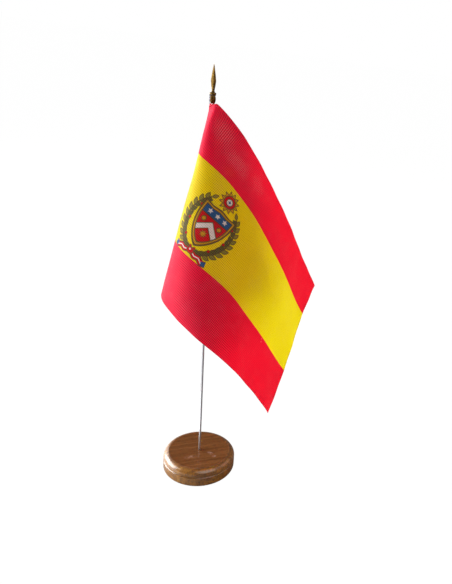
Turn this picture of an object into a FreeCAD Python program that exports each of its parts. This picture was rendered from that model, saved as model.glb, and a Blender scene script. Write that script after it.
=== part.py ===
import FreeCAD, Part
import os, math
import Sketcher

# Desk flag stand: turned wooden base with a felt foot, a thin metal pole, a
# cast spear finial and a small printed flag that hangs from the pole by a
# sleeve and a thread loop.  Millimetres, +Z up, origin at the centre of the
# underside of the felt.

os.makedirs("parts", exist_ok=True)
doc = FreeCAD.newDocument("desk_flag_stand")
V = FreeCAD.Vector
Placement = FreeCAD.Placement
Rotation = FreeCAD.Rotation

# ------------------------------------------------------------------ sizes
SIZES = [
    # base
    ("base_diameter", 66.0), ("base_height", 19.0), ("top_diameter", 56.4),
    ("foot_diameter", 59.4), ("shoulder_height", 13.0), ("foot_height", 4.0),
    ("bead_height", 11.7), ("bead_radius", 1.15), ("bead_offset", 0.25),
    ("bore_diameter", 2.1), ("bore_depth", 15.0), ("bore_chamfer", 0.25),
    ("felt_diameter", 56.0), ("felt_thickness", 0.8),
    # pole
    ("pole_diameter", 2.0), ("pole_length", 340.0), ("pole_chamfer", 0.2),
    # finial
    ("finial_seat", 338.0), ("socket_depth", 6.0), ("socket_diameter", 2.1),
    ("finial_foot_radius", 1.45), ("ball_radius", 2.2), ("waist_radius", 1.75),
    ("collar_radius", 2.45), ("neck_radius", 1.05), ("blade_width", 3.9),
    ("blade_depth", 2.4), ("finial_height", 28.2),
    # flag
    ("flag_length", 210.0), ("flag_height", 140.0), ("cloth_thickness", 0.5),
    ("flag_top", 337.5),
    # sleeve
    ("sleeve_radius", 2.6), ("sleeve_wall", 0.45), ("sleeve_tail", 4.25),
    ("sleeve_tail_half", 0.42),
    # stitching
    ("stitch_length", 2.2), ("stitch_pitch", 3.0), ("stitch_radius", 0.12),
    ("stitch_line", 3.55),
    # loop
    ("thread_radius", 0.2), ("loop_radius", 2.15), ("loop_height", 344.1),
]
sheet = doc.addObject("Spreadsheet::Sheet", "sizes")
SZ = {}
for row, (alias, value) in enumerate(SIZES, start=1):
    sheet.set("A%d" % row, alias)
    sheet.set("B%d" % row, "%g" % value)
    sheet.setAlias("B%d" % row, alias)
    SZ[alias] = value
doc.recompute()


def size(alias):
    return float(sheet.get(alias))


def new_body(label):
    body = doc.addObject("PartDesign::Body", label)
    body.Label = label
    body.Placement = Placement(V(0, 0, 0), Rotation())
    return body


def origin_item(body, role):
    for item in body.Origin.OriginFeatures:
        if item.Role == role:
            return item
    raise RuntimeError(role)


def new_sketch(body, name, role, lift=None):
    sk = body.newObject("Sketcher::SketchObject", name)
    sk.AttachmentSupport = [(origin_item(body, role), "")]
    sk.MapMode = "FlatFace"
    if lift is not None:
        sk.setExpression("AttachmentOffset.Base.z", lift)
    return sk


def bind(sk, index, name, expression):
    sk.renameConstraint(index, name)
    sk.setExpression("Constraints." + name, expression)


def circle_sketch(body, name, role, radius, radius_expr, lift=None):
    sk = new_sketch(body, name, role, lift)
    g = sk.addGeometry(Part.Circle(V(0, 0, 0), V(0, 0, 1), radius), False)
    sk.addConstraint(Sketcher.Constraint("Coincident", g, 3, -1, 1))
    k = sk.addConstraint(Sketcher.Constraint("Radius", g, radius))
    bind(sk, k, "radius", radius_expr)
    return sk


def fix_point(sk, geo, pos, x, y, name, xe=None, ye=None):
    """Hold one sketch point by its two distances from the sketch origin."""
    if abs(x) < 1e-9:
        sk.addConstraint(Sketcher.Constraint("PointOnObject", geo, pos, -2))
    else:
        k = sk.addConstraint(Sketcher.Constraint("DistanceX", -1, 1, geo, pos, x))
        if xe:
            bind(sk, k, name + "_x", xe)
    if abs(y) < 1e-9:
        sk.addConstraint(Sketcher.Constraint("PointOnObject", geo, pos, -1))
    else:
        k = sk.addConstraint(Sketcher.Constraint("DistanceY", -1, 1, geo, pos, y))
        if ye:
            bind(sk, k, name + "_y", ye)


def arc3(a, b, c):
    return Part.Arc(V(a[0], a[1], 0), V(b[0], b[1], 0), V(c[0], c[1], 0))


def seg(a, b):
    return Part.LineSegment(V(a[0], a[1], 0), V(b[0], b[1], 0))


def round_edges(body, kind, name, value_expr, test):
    """Dress the edges of the body's tip that pass the test."""
    doc.recompute()
    base = body.Tip
    names = ["Edge%d" % (i + 1) for i, e in enumerate(base.Shape.Edges) if test(e)]
    if not names:
        raise RuntimeError("no edge for " + name)
    f = body.newObject(kind, name)
    f.Base = (base, names)
    f.setExpression("Radius" if kind.endswith("Fillet") else "Size", value_expr)
    doc.recompute()
    return f


def is_ring(e, radius, z):
    c = e.Curve
    return (isinstance(c, Part.Circle) and abs(c.Radius - radius) < 1e-3
            and abs(c.Center.z - z) < 1e-3)


# -------------------------------------------------------------- wood base
# Turned disc: flat top, long rounded shoulder, small rounded foot, one cove
# cut round the side and a blind bore for the pole.
wood_base = new_body("wood_base")
R, H = size("base_diameter") / 2, size("base_height")
TR, FR = size("top_diameter") / 2, size("foot_diameter") / 2
SH, FH, FT = size("shoulder_height"), size("foot_height"), size("felt_thickness")


def tangent_arc(r_out, z_at, r_in, z_in):
    """Arc that leaves the wall (r_out, z_at) upright and ends at (r_in, z_in)."""
    a, b = r_out - r_in, z_in - z_at
    rad = (a * a + b * b) / (2 * a)
    cx = r_out - rad
    ang = math.atan2(b, r_in - cx)
    mid = (cx + rad * math.cos(ang / 2), z_at + rad * math.sin(ang / 2))
    return rad, cx, mid


sr, scx, smid = tangent_arc(R, SH, TR, H)
fr, fcx, fmid = tangent_arc(R, FH, FR, FT)
sk = new_sketch(wood_base, "base_profile", "XZ_Plane")
g0 = sk.addGeometry(seg((0, FT), (FR, FT)), False)
g1 = sk.addGeometry(arc3((FR, FT), fmid, (R, FH)), False)
g2 = sk.addGeometry(seg((R, FH), (R, SH)), False)
g3 = sk.addGeometry(arc3((R, SH), smid, (TR, H)), False)
g4 = sk.addGeometry(seg((TR, H), (0, H)), False)
g5 = sk.addGeometry(seg((0, H), (0, FT)), False)


def arc_ends(sk, g, first):
    """Point numbers (at `first`, at the other end) of an arc."""
    p = sk.getPoint(g, 1)
    near = abs(p.x - first[0]) + abs(p.y - first[1]) < 1e-6
    return (1, 2) if near else (2, 1)


a1, b1 = arc_ends(sk, g1, (FR, FT))
a3, b3 = arc_ends(sk, g3, (R, SH))
for c in ((g0, 2, g1, a1), (g1, b1, g2, 1), (g2, 2, g3, a3), (g3, b3, g4, 1),
          (g4, 2, g5, 1), (g5, 2, g0, 1)):
    sk.addConstraint(Sketcher.Constraint("Coincident", *c))
fix_point(sk, g0, 1, 0, FT, "axis_foot", None, "sizes.felt_thickness")
fix_point(sk, g0, 2, FR, FT, "foot", "sizes.foot_diameter / 2", "sizes.felt_thickness")
fix_point(sk, g2, 1, R, FH, "wall_low", "sizes.base_diameter / 2", "sizes.foot_height")
fix_point(sk, g2, 2, R, SH, "wall_high", "sizes.base_diameter / 2", "sizes.shoulder_height")
fix_point(sk, g4, 1, TR, H, "rim", "sizes.top_diameter / 2", "sizes.base_height")
fix_point(sk, g4, 2, 0, H, "axis_top", None, "sizes.base_height")
# both arcs leave the wall upright, so their centres lie level with its ends
sk.addConstraint(Sketcher.Constraint("Horizontal", g1, 3, g2, 1))
sk.addConstraint(Sketcher.Constraint("Horizontal", g3, 3, g2, 2))
rev = wood_base.newObject("PartDesign::Revolution", "base_turning")
rev.Profile = sk
rev.ReferenceAxis = (sk, ["V_Axis"])
rev.Angle = 360
doc.recompute()
v_turned = wood_base.Shape.Volume

sk = new_sketch(wood_base, "cove_profile", "XZ_Plane")
cx, cz, cr = R + size("bead_offset"), size("bead_height"), size("bead_radius")
g = sk.addGeometry(Part.Circle(V(cx, cz, 0), V(0, 0, 1), cr), False)
k = sk.addConstraint(Sketcher.Constraint("Radius", g, cr))
bind(sk, k, "cove", "sizes.bead_radius")
k = sk.addConstraint(Sketcher.Constraint("DistanceX", -1, 1, g, 3, cx))
bind(sk, k, "cove_x", "sizes.base_diameter / 2 + sizes.bead_offset")
k = sk.addConstraint(Sketcher.Constraint("DistanceY", -1, 1, g, 3, cz))
bind(sk, k, "cove_y", "sizes.bead_height")
gr = wood_base.newObject("PartDesign::Groove", "side_cove")
gr.Profile = sk
gr.ReferenceAxis = (sk, ["V_Axis"])
gr.Angle = 360
doc.recompute()
v_cove = wood_base.Shape.Volume
assert v_cove < v_turned - 50, (v_turned, v_cove)

sk = circle_sketch(wood_base, "bore_circle", "XY_Plane", size("bore_diameter") / 2,
                   "sizes.bore_diameter / 2", "sizes.base_height")
pk = wood_base.newObject("PartDesign::Pocket", "pole_bore")
pk.Profile = sk
pk.setExpression("Length", "sizes.bore_depth")
doc.recompute()
assert wood_base.Shape.Volume < v_cove - 30, (v_cove, wood_base.Shape.Volume)
round_edges(wood_base, "PartDesign::Chamfer", "bore_mouth", "sizes.bore_chamfer",
            lambda e: is_ring(e, size("bore_diameter") / 2, H))
round_edges(wood_base, "PartDesign::Fillet", "cove_edges", "sizes.bead_offset",
            lambda e: isinstance(e.Curve, Part.Circle) and abs(e.Curve.Radius - R) < 1e-3
            and abs(e.Curve.Center.z - cz) < cr + 0.01)

# -------------------------------------------------------------- base felt
base_felt = new_body("base_felt")
sk = circle_sketch(base_felt, "felt_circle", "XY_Plane", size("felt_diameter") / 2,
                   "sizes.felt_diameter / 2")
pad = base_felt.newObject("PartDesign::Pad", "felt_disc")
pad.Profile = sk
pad.setExpression("Length", "sizes.felt_thickness")
doc.recompute()

# ------------------------------------------------------------------- pole
pole = new_body("pole")
sk = circle_sketch(pole, "pole_circle", "XY_Plane", size("pole_diameter") / 2,
                   "sizes.pole_diameter / 2", "sizes.base_height - sizes.bore_depth")
pad = pole.newObject("PartDesign::Pad", "pole_rod")
pad.Profile = sk
pad.setExpression("Length", "sizes.pole_length")
round_edges(pole, "PartDesign::Chamfer", "pole_ends", "sizes.pole_chamfer",
            lambda e: isinstance(e.Curve, Part.Circle))

# ----------------------------------------------------------------- finial
# Ball, waist, collar and neck are one turned profile; the spear blade above
# them is a four-sided leaf with a ridge down each flat.
finial = new_body("finial")
F0 = size("finial_seat")
fx = {"foot": size("finial_foot_radius"), "ball": size("ball_radius"),
      "waist": size("waist_radius"), "collar": size("collar_radius"),
      "neck": size("neck_radius")}
Z = {"ball": 3.4, "waist": 5.7, "collar_low": 6.5, "collar": 7.15, "collar_high": 7.8,
     "neck": 9.5, "cup": 10.6}
sk = new_sketch(finial, "finial_profile", "XZ_Plane")
p = [(0, F0), (fx["foot"], F0), (fx["waist"], F0 + Z["waist"]),
     (fx["waist"], F0 + Z["collar_low"]), (fx["collar"] - 0.35, F0 + Z["collar_low"]),
     (fx["collar"] - 0.35, F0 + Z["collar_high"]), (fx["neck"] + 0.4, F0 + Z["collar_high"] + 0.25),
     (fx["neck"] + 0.25, F0 + Z["cup"]), (0, F0 + Z["cup"])]
geo = [sk.addGeometry(seg(p[0], p[1]), False),
       sk.addGeometry(arc3(p[1], (fx["ball"], F0 + Z["ball"]), p[2]), False),
       sk.addGeometry(seg(p[2], p[3]), False),
       sk.addGeometry(seg(p[3], p[4]), False),
       sk.addGeometry(arc3(p[4], (fx["collar"], F0 + Z["collar"]), p[5]), False),
       sk.addGeometry(seg(p[5], p[6]), False),
       sk.addGeometry(arc3(p[6], (fx["neck"], F0 + Z["neck"]), p[7]), False),
       sk.addGeometry(seg(p[7], p[8]), False),
       sk.addGeometry(seg(p[8], p[0]), False)]
ends = []
for gi, g in enumerate(geo):
    ends.append(arc_ends(sk, g, p[gi]))
for gi, g in enumerate(geo):
    nxt = (gi + 1) % len(geo)
    sk.addConstraint(Sketcher.Constraint("Coincident", g, ends[gi][1], geo[nxt], ends[nxt][0]))
zf = "sizes.finial_seat"
fix_point(sk, geo[0], ends[0][0], 0, p[0][1], "seat", None, zf)
fix_point(sk, geo[0], ends[0][1], p[1][0], p[1][1], "foot", "sizes.finial_foot_radius", zf)
fix_point(sk, geo[2], ends[2][0], p[2][0], p[2][1], "waist_low", "sizes.waist_radius", zf + " + 5.7")
fix_point(sk, geo[2], ends[2][1], p[3][0], p[3][1], "waist_high", "sizes.waist_radius", zf + " + 6.5")
fix_point(sk, geo[3], ends[3][1], p[4][0], p[4][1], "collar_low", "sizes.collar_radius - 0.35", zf + " + 6.5")
fix_point(sk, geo[5], ends[5][0], p[5][0], p[5][1], "collar_high", "sizes.collar_radius - 0.35", zf + " + 7.8")
fix_point(sk, geo[5], ends[5][1], p[6][0], p[6][1], "neck_low", "sizes.neck_radius + 0.4", zf + " + 8.05")
fix_point(sk, geo[7], ends[7][0], p[7][0], p[7][1], "neck_high", "sizes.neck_radius + 0.25", zf + " + 10.6")
fix_point(sk, geo[7], ends[7][1], 0, p[8][1], "top", None, zf + " + 10.6")
for g, nm in ((geo[1], "ball"), (geo[4], "collar"), (geo[6], "neck")):
    rad = sk.Geometry[g].Radius
    k = sk.addConstraint(Sketcher.Constraint("Radius", g, rad))
    sk.renameConstraint(k, nm + "_curve")
rev = finial.newObject("PartDesign::Revolution", "finial_turning")
rev.Profile = sk
rev.ReferenceAxis = (sk, ["V_Axis"])
rev.Angle = 360
doc.recompute()
v_turn = finial.Shape.Volume

# leaf sections: height above the seat, share of full width, share of full depth
LEAF = [(9.6, 0.46, 0.62), (12.6, 0.80, 0.84), (16.4, 1.0, 1.0), (20.6, 0.72, 0.76),
        (24.8, 0.38, 0.44), (28.2, 0.06, 0.08)]
BW, BD = size("blade_width"), size("blade_depth")
leaf = []
for n, (dz, sw, sd) in enumerate(LEAF):
    s = new_sketch(finial, "leaf_%d" % n, "XY_Plane",
                   "sizes.finial_seat + %g" % dz if dz < 28 else
                   "sizes.finial_seat + sizes.finial_height")
    hw, hd = BW * sw / 2, BD * sd / 2
    q = [(hw, 0), (0, hd), (-hw, 0), (0, -hd)]
    gg = [s.addGeometry(seg(q[i], q[(i + 1) % 4]), False) for i in range(4)]
    for i in range(4):
        s.addConstraint(Sketcher.Constraint("Coincident", gg[i], 2, gg[(i + 1) % 4], 1))
    for i, (pos, axis) in enumerate((("right", -1), ("back", -2), ("left", -1), ("front", -2))):
        s.addConstraint(Sketcher.Constraint("PointOnObject", gg[i], 1, axis))
    for i, nm, kind, ex in ((0, "right", "DistanceX", "sizes.blade_width * %g" % (sw / 2)),
                            (2, "left", "DistanceX", "sizes.blade_width * %g" % (sw / 2)),
                            (1, "back", "DistanceY", "sizes.blade_depth * %g" % (sd / 2)),
                            (3, "front", "DistanceY", "sizes.blade_depth * %g" % (sd / 2))):
        val = hw if kind == "DistanceX" else hd
        if nm in ("right", "back"):
            k = s.addConstraint(Sketcher.Constraint(kind, -1, 1, gg[i], 1, val))
        else:
            k = s.addConstraint(Sketcher.Constraint(kind, gg[i], 1, -1, 1, val))
        bind(s, k, nm, ex)
    leaf.append(s)
doc.recompute()
blade = finial.newObject("PartDesign::AdditiveLoft", "spear_blade")
blade.Profile = leaf[0]
blade.Sections = leaf[1:]
blade.Ruled = True
doc.recompute()
assert finial.Shape.Volume > v_turn + 20, (v_turn, finial.Shape.Volume)
v_blade = finial.Shape.Volume

sk = circle_sketch(finial, "socket_circle", "XY_Plane", size("socket_diameter") / 2,
                   "sizes.socket_diameter / 2", "sizes.finial_seat")
pk = finial.newObject("PartDesign::Pocket", "pole_socket")
pk.Profile = sk
pk.Reversed = True
pk.setExpression("Length", "sizes.socket_depth")
doc.recompute()
assert finial.Shape.Volume < v_blade - 10, (v_blade, finial.Shape.Volume)

# ------------------------------------------------------------ hoist sleeve
# Hem of the cloth folded round the pole: a teardrop tube whose tail points
# the way the flag leaves the pole.
TAIL = -75.0
hoist_sleeve = new_body("hoist_sleeve")


def teardrop(sk, radius, tip, half, names):
    """Big arc about the origin, two straight flanks and a round or sharp tip."""
    if half > 0:
        # flank: tangent line from the cap end to the big circle
        tx, ty = tip - half, half
    else:
        tx, ty = tip, 0.0
    d = math.hypot(tx, ty)
    ang = math.atan2(ty, tx) + math.acos(radius / d)
    cxp, cyp = radius * math.cos(ang), radius * math.sin(ang)
    big = sk.addGeometry(Part.ArcOfCircle(Part.Circle(V(0, 0, 0), V(0, 0, 1), radius),
                                          ang, 2 * math.pi - ang), False)
    up = sk.addGeometry(seg((cxp, cyp), (tx, ty)), False)
    dn = sk.addGeometry(seg((tx, -ty), (cxp, -cyp)), False)
    sk.addConstraint(Sketcher.Constraint("Coincident", big, 3, -1, 1))
    k = sk.addConstraint(Sketcher.Constraint("Radius", big, radius))
    bind(sk, k, names + "_r", "sizes.sleeve_radius" if half > 0 else
         "sizes.sleeve_radius - sizes.sleeve_wall")
    sk.addConstraint(Sketcher.Constraint("Tangent", big, 1, up, 1))
    sk.addConstraint(Sketcher.Constraint("Tangent", dn, 2, big, 2))
    if half > 0:
        cap = sk.addGeometry(Part.ArcOfCircle(Part.Circle(V(tx, 0, 0), V(0, 0, 1), half),
                                              -math.pi / 2, math.pi / 2), False)
        sk.addConstraint(Sketcher.Constraint("Coincident", up, 2, cap, 2))
        sk.addConstraint(Sketcher.Constraint("Coincident", cap, 1, dn, 1))
        sk.addConstraint(Sketcher.Constraint("PointOnObject", cap, 3, -1))
        k = sk.addConstraint(Sketcher.Constraint("DistanceX", -1, 1, up, 2, tx))
        bind(sk, k, names + "_tx", "sizes.sleeve_tail - sizes.sleeve_tail_half")
        k = sk.addConstraint(Sketcher.Constraint("DistanceY", -1, 1, up, 2, ty))
        bind(sk, k, names + "_ty", "sizes.sleeve_tail_half")
        k = sk.addConstraint(Sketcher.Constraint("DistanceX", -1, 1, dn, 1, tx))
        bind(sk, k, names + "_bx", "sizes.sleeve_tail - sizes.sleeve_tail_half")
        k = sk.addConstraint(Sketcher.Constraint("DistanceX", -1, 1, cap, 3, tx))
        bind(sk, k, names + "_cx", "sizes.sleeve_tail - sizes.sleeve_tail_half")
    else:
        sk.addConstraint(Sketcher.Constraint("Coincident", up, 2, dn, 1))
        sk.addConstraint(Sketcher.Constraint("PointOnObject", up, 2, -1))
        k = sk.addConstraint(Sketcher.Constraint("DistanceX", -1, 1, up, 2, tx))
        bind(sk, k, names + "_tip", "sizes.sleeve_tail - 0.95")


sk = new_sketch(hoist_sleeve, "sleeve_section", "XY_Plane",
                "sizes.flag_top - sizes.flag_height")
teardrop(sk, size("sleeve_radius"), size("sleeve_tail"), size("sleeve_tail_half"), "outer")
teardrop(sk, size("sleeve_radius") - size("sleeve_wall"), size("sleeve_tail") - 0.95, 0.0, "inner")
pad = hoist_sleeve.newObject("PartDesign::Pad", "sleeve_tube")
pad.Profile = sk
pad.setExpression("Length", "sizes.flag_height")
hoist_sleeve.Placement = Placement(V(0, 0, 0), Rotation(V(0, 0, 1), TAIL))
doc.recompute()

# -------------------------------------------------------------- flag cloth
# Poles of a bicubic surface: rows run from hoist to fly, each row from the
# top edge down.  The cloth hangs as one open fold: it leaves the sleeve
# towards the front left, turns round and crosses in front of the pole to the
# right.
KU = [0.0, 5.0, 11.0, 18.0, 26.0, 36.0, 48.0, 63.0, 82.0, 105.0, 130.0, 156.0, 183.0, 210.0]
KV = [0.0, 8.0, 18.0, 32.0, 50.0, 72.0, 95.0, 118.0, 140.0]
NET = [
    [(1.190, -4.421, 337.494), (1.094, -4.282, 334.832), (1.227, -4.403, 328.838), (1.157, -4.383, 318.183), (1.184, -4.404, 304.172), (1.172, -4.392, 286.171), (1.178, -4.398, 265.170), (1.177, -4.393, 242.503), (1.178, -4.396, 219.836), (1.179, -4.394, 204.836), (1.169, -4.401, 197.502)],
    [(1.246, -6.089, 337.406), (0.384, -5.908, 334.830), (-0.163, -5.363, 328.845), (-0.104, -5.454, 318.197), (-0.119, -5.459, 304.178), (-0.059, -5.510, 286.175), (-0.084, -5.490, 265.173), (-0.025, -5.547, 242.506), (-0.060, -5.513, 219.839), (-0.128, -5.430, 204.838), (-0.187, -5.376, 197.506)],
    [(2.497, -9.730, 336.873), (0.894, -9.994, 334.702), (-1.999, -9.306, 329.031), (-3.182, -7.651, 318.260), (-2.977, -7.629, 304.206), (-2.730, -8.083, 286.212), (-2.906, -7.824, 265.188), (-2.644, -8.114, 242.527), (-2.816, -7.932, 219.855), (-2.992, -7.725, 204.856), (-3.190, -7.508, 197.524)],
    [(6.950, -13.269, 334.356), (5.331, -13.898, 332.338), (1.324, -15.405, 327.882), (-4.549, -14.601, 318.283), (-7.371, -12.138, 304.319), (-7.648, -11.428, 286.200), (-7.039, -12.249, 265.223), (-7.337, -11.883, 242.547), (-7.377, -11.825, 219.881), (-7.773, -11.359, 204.880), (-8.119, -10.945, 197.567)],
    [(12.547, -14.752, 330.264), (10.850, -15.492, 328.320), (7.208, -17.755, 324.134), (0.238, -20.892, 316.367), (-7.841, -20.335, 304.040), (-12.093, -17.400, 286.322), (-12.842, -16.181, 265.221), (-12.724, -16.289, 242.583), (-12.776, -16.289, 219.901), (-13.509, -15.387, 204.937), (-13.782, -15.088, 197.612)],
    [(18.887, -14.735, 324.692), (17.272, -15.939, 322.922), (13.555, -18.459, 318.883), (7.205, -23.235, 311.776), (-1.888, -27.280, 301.560), (-12.074, -27.004, 285.836), (-17.631, -23.730, 265.291), (-19.229, -21.646, 242.608), (-20.012, -20.564, 219.995), (-20.361, -20.079, 205.017), (-20.864, -19.508, 197.722)],
    [(25.480, -12.713, 317.298), (24.057, -14.262, 315.648), (20.889, -17.835, 311.956), (14.924, -23.806, 305.327), (6.460, -30.685, 296.314), (-5.255, -35.255, 282.792), (-16.498, -34.877, 264.285), (-23.235, -31.673, 242.365), (-26.216, -28.874, 219.889), (-27.508, -27.295, 204.994), (-27.960, -26.796, 197.696)],
    [(32.098, -8.597, 307.582), (30.804, -10.309, 305.998), (28.093, -14.319, 302.456), (23.317, -21.595, 296.279), (16.192, -30.536, 288.086), (5.191, -39.711, 276.535), (-8.069, -44.329, 260.329), (-19.190, -44.230, 240.269), (-27.131, -42.032, 218.823), (-30.857, -39.883, 204.288), (-32.044, -38.802, 197.065)],
    [(39.557, -2.949, 295.247), (38.351, -4.775, 293.711), (35.580, -8.833, 290.253), (29.739, -15.195, 283.797), (24.703, -25.685, 276.070), (17.915, -39.686, 266.660), (4.914, -50.484, 253.103), (-9.143, -55.231, 235.412), (-20.011, -55.529, 215.153), (-25.257, -54.456, 201.304), (-28.436, -54.153, 194.607)],
    [(48.326, 4.081, 279.732), (47.396, 2.024, 278.303), (45.371, -2.635, 275.078), (41.525, -10.840, 269.338), (35.644, -20.909, 261.571), (29.585, -34.935, 252.168), (20.775, -50.390, 240.681), (7.238, -63.616, 226.881), (-7.901, -70.021, 209.607), (-14.910, -69.112, 195.656), (-16.531, -67.597, 188.624)],
    [(58.318, 12.185, 261.335), (57.245, 10.219, 259.890), (54.834, 5.795, 256.628), (51.536, -2.665, 251.045), (45.529, -12.751, 243.282), (40.198, -27.290, 234.006), (33.329, -43.856, 223.051), (24.373, -60.436, 210.653), (13.080, -76.735, 198.394), (2.494, -82.822, 187.603), (-1.872, -82.787, 181.252)],
    [(68.540, 21.602, 240.852), (67.501, 19.603, 239.424), (65.184, 15.093, 236.206), (61.116, 7.032, 230.498), (55.915, -3.600, 222.992), (51.658, -18.693, 213.957), (42.559, -33.773, 202.399), (33.495, -50.478, 189.922), (30.325, -70.977, 179.578), (23.996, -82.465, 171.483), (19.380, -87.150, 166.989)],
    [(77.789, 32.312, 218.955), (76.851, 30.245, 217.555), (74.742, 25.603, 214.394), (71.408, 17.114, 208.853), (67.322, 5.866, 201.581), (62.689, -8.934, 192.468), (56.345, -25.858, 181.619), (48.619, -43.549, 169.755), (37.695, -59.376, 156.960), (34.698, -72.122, 149.630), (34.089, -78.851, 146.398)],
    [(88.320, 42.565, 196.708), (87.249, 40.580, 195.282), (84.882, 36.092, 192.066), (80.575, 28.167, 186.327), (76.105, 17.053, 179.029), (71.552, 2.238, 169.883), (66.382, -15.150, 159.282), (58.890, -32.950, 147.436), (52.956, -51.694, 136.065), (49.396, -64.402, 128.819), (46.847, -70.141, 124.987)],
    [(96.013, 49.171, 181.874), (94.927, 47.210, 180.433), (92.442, 42.821, 177.182), (88.523, 34.703, 171.515), (82.839, 24.301, 163.848), (78.698, 9.136, 154.869), (74.006, -8.506, 144.433), (66.392, -26.280, 132.424), (61.286, -45.477, 121.456), (57.108, -57.714, 113.869), (55.090, -63.704, 110.141)],
    [(99.189, 52.956, 174.360), (98.115, 50.987, 172.914), (95.827, 46.460, 169.671), (92.392, 38.028, 164.094), (87.640, 27.087, 156.708), (82.763, 12.390, 147.535), (77.715, -5.069, 136.962), (71.373, -23.619, 125.355), (65.158, -42.208, 113.980), (60.124, -54.003, 106.235), (57.990, -59.937, 102.512)],
]


def cloth_solid(length, height, thick):
    su, sv = length / KU[-1], height / KV[-1]
    mu = [4] + [1] * (len(KU) - 2) + [4]
    mv = [4] + [1] * (len(KV) - 2) + [4]
    ku = [k * su for k in KU]
    kv = [k * sv for k in KV]
    tu = [ku[0]] * 3 + ku + [ku[-1]] * 3
    tv = [kv[0]] * 3 + kv + [kv[-1]] * 3
    mid = Part.BSplineSurface()
    rows = [[V(*q) for q in r] for r in NET]
    mid.buildFromPolesMultsKnots(rows, mu, mv, ku, kv, False, False, 3, 3)

    def shifted(dist):
        out = []
        for i, r in enumerate(rows):
            gu = sum(tu[i + 1:i + 4]) / 3.0
            line = []
            for j, q in enumerate(r):
                gv = sum(tv[j + 1:j + 4]) / 3.0
                nrm = mid.normal(min(max(gu, ku[0]), ku[-1]), min(max(gv, kv[0]), kv[-1]))
                line.append(q + nrm * dist)
            out.append(line)
        s = Part.BSplineSurface()
        s.buildFromPolesMultsKnots(out, mu, mv, ku, kv, False, False, 3, 3)
        return s, out

    def strip(la, lb, mults, knots):
        """Straight-ruled side face between two matching boundary curves."""
        s = Part.BSplineSurface()
        s.buildFromPolesMultsKnots([la, lb], [2, 2], mults, [0.0, 1.0], knots,
                                   False, False, 1, 3)
        return s.toShape()

    (a, pa), (b, pb) = shifted(thick / 2), shifted(-thick / 2)
    faces = [a.toShape(), b.toShape(),
             strip(pa[0], pb[0], mv, kv), strip(pa[-1], pb[-1], mv, kv),
             strip([r[0] for r in pa], [r[0] for r in pb], mu, ku),
             strip([r[-1] for r in pa], [r[-1] for r in pb], mu, ku)]
    sewn = Part.makeShell(faces)
    sewn.sewShape()
    solid = Part.makeSolid(Part.Shell(sewn.Faces))
    if solid.Volume < 0:
        solid.reverse()
    return solid


flag_cloth = doc.addObject("Part::Feature", "flag_cloth")
flag_cloth.Label = "flag_cloth"
flag_cloth.Shape = cloth_solid(size("flag_length"), size("flag_height"), size("cloth_thickness"))
flag_cloth.Placement = Placement(V(0, 0, 0), Rotation())

# ------------------------------------------------------------- seam thread
# Running stitches on both faces of the sleeve's tail.
stitches = []
count = int((size("flag_height") - 3.0) // size("stitch_pitch"))
dx, dy = math.cos(math.radians(TAIL)), math.sin(math.radians(TAIL))
# half width of the tail at the stitch line, measured on the straight flank
d_tip = math.hypot(size("sleeve_tail") - size("sleeve_tail_half"), size("sleeve_tail_half"))
t_ang = math.atan2(size("sleeve_tail_half"), size("sleeve_tail") - size("sleeve_tail_half")) + \
    math.acos(size("sleeve_radius") / d_tip)
tpx, tpy = size("sleeve_radius") * math.cos(t_ang), size("sleeve_radius") * math.sin(t_ang)
ex, ey = size("sleeve_tail") - size("sleeve_tail_half"), size("sleeve_tail_half")
w = tpy + (ey - tpy) * (size("stitch_line") - tpx) / (ex - tpx)
slope = math.atan2(tpy - ey, ex - tpx)
off = w + (size("stitch_radius") + 0.02) / math.cos(slope)
for side, sgn in (("left", 1), ("right", -1)):
    for n in range(count):
        s = doc.addObject("Part::Cylinder", "stitch_%s_%d" % (side, n))
        s.setExpression("Radius", "sizes.stitch_radius")
        s.setExpression("Height", "sizes.stitch_length")
        lx, ly = size("stitch_line"), sgn * off
        s.Placement = Placement(V(lx * dx - ly * dy, lx * dy + ly * dx, 0), Rotation())
        s.setExpression("Placement.Base.z", "sizes.flag_top - sizes.flag_height + 1.9 + %d * sizes.stitch_pitch" % n)
        stitches.append(s)
seam_thread = doc.addObject("Part::Compound", "seam_thread")
seam_thread.Label = "seam_thread"
seam_thread.Links = stitches
seam_thread.Placement = Placement(V(0, 0, 0), Rotation())

# ------------------------------------------------------------ hanging loop
# Thread ring in the finial's waist with two strands down to the top edge of
# the sleeve.
ring = doc.addObject("Part::Torus", "loop_ring")
ring.setExpression("Radius1", "sizes.loop_radius")
ring.setExpression("Radius2", "sizes.thread_radius")
ring.setExpression("Placement.Base.z", "sizes.loop_height")
strands = []
LZ = size("loop_height")
for n, az in enumerate((182.0, 214.0)):
    ca, sa = math.cos(math.radians(az)), math.sin(math.radians(az))
    top = V((size("loop_radius") + 0.3) * ca, (size("loop_radius") + 0.3) * sa, LZ - 0.05)
    low = V((size("sleeve_radius") - 0.06) * ca, (size("sleeve_radius") - 0.06) * sa, size("flag_top") + 0.08)
    run = top - low
    s = doc.addObject("Part::Cylinder", "loop_strand_%d" % n)
    s.setExpression("Radius", "sizes.thread_radius")
    s.Height = run.Length
    s.Placement = Placement(low, Rotation(V(0, 0, 1), run))
    strands.append(s)
hanging_loop = doc.addObject("Part::MultiFuse", "hanging_loop")
hanging_loop.Label = "hanging_loop"
hanging_loop.Shapes = [ring] + strands
hanging_loop.Placement = Placement(V(0, 0, 0), Rotation())

doc.recompute()

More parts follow.
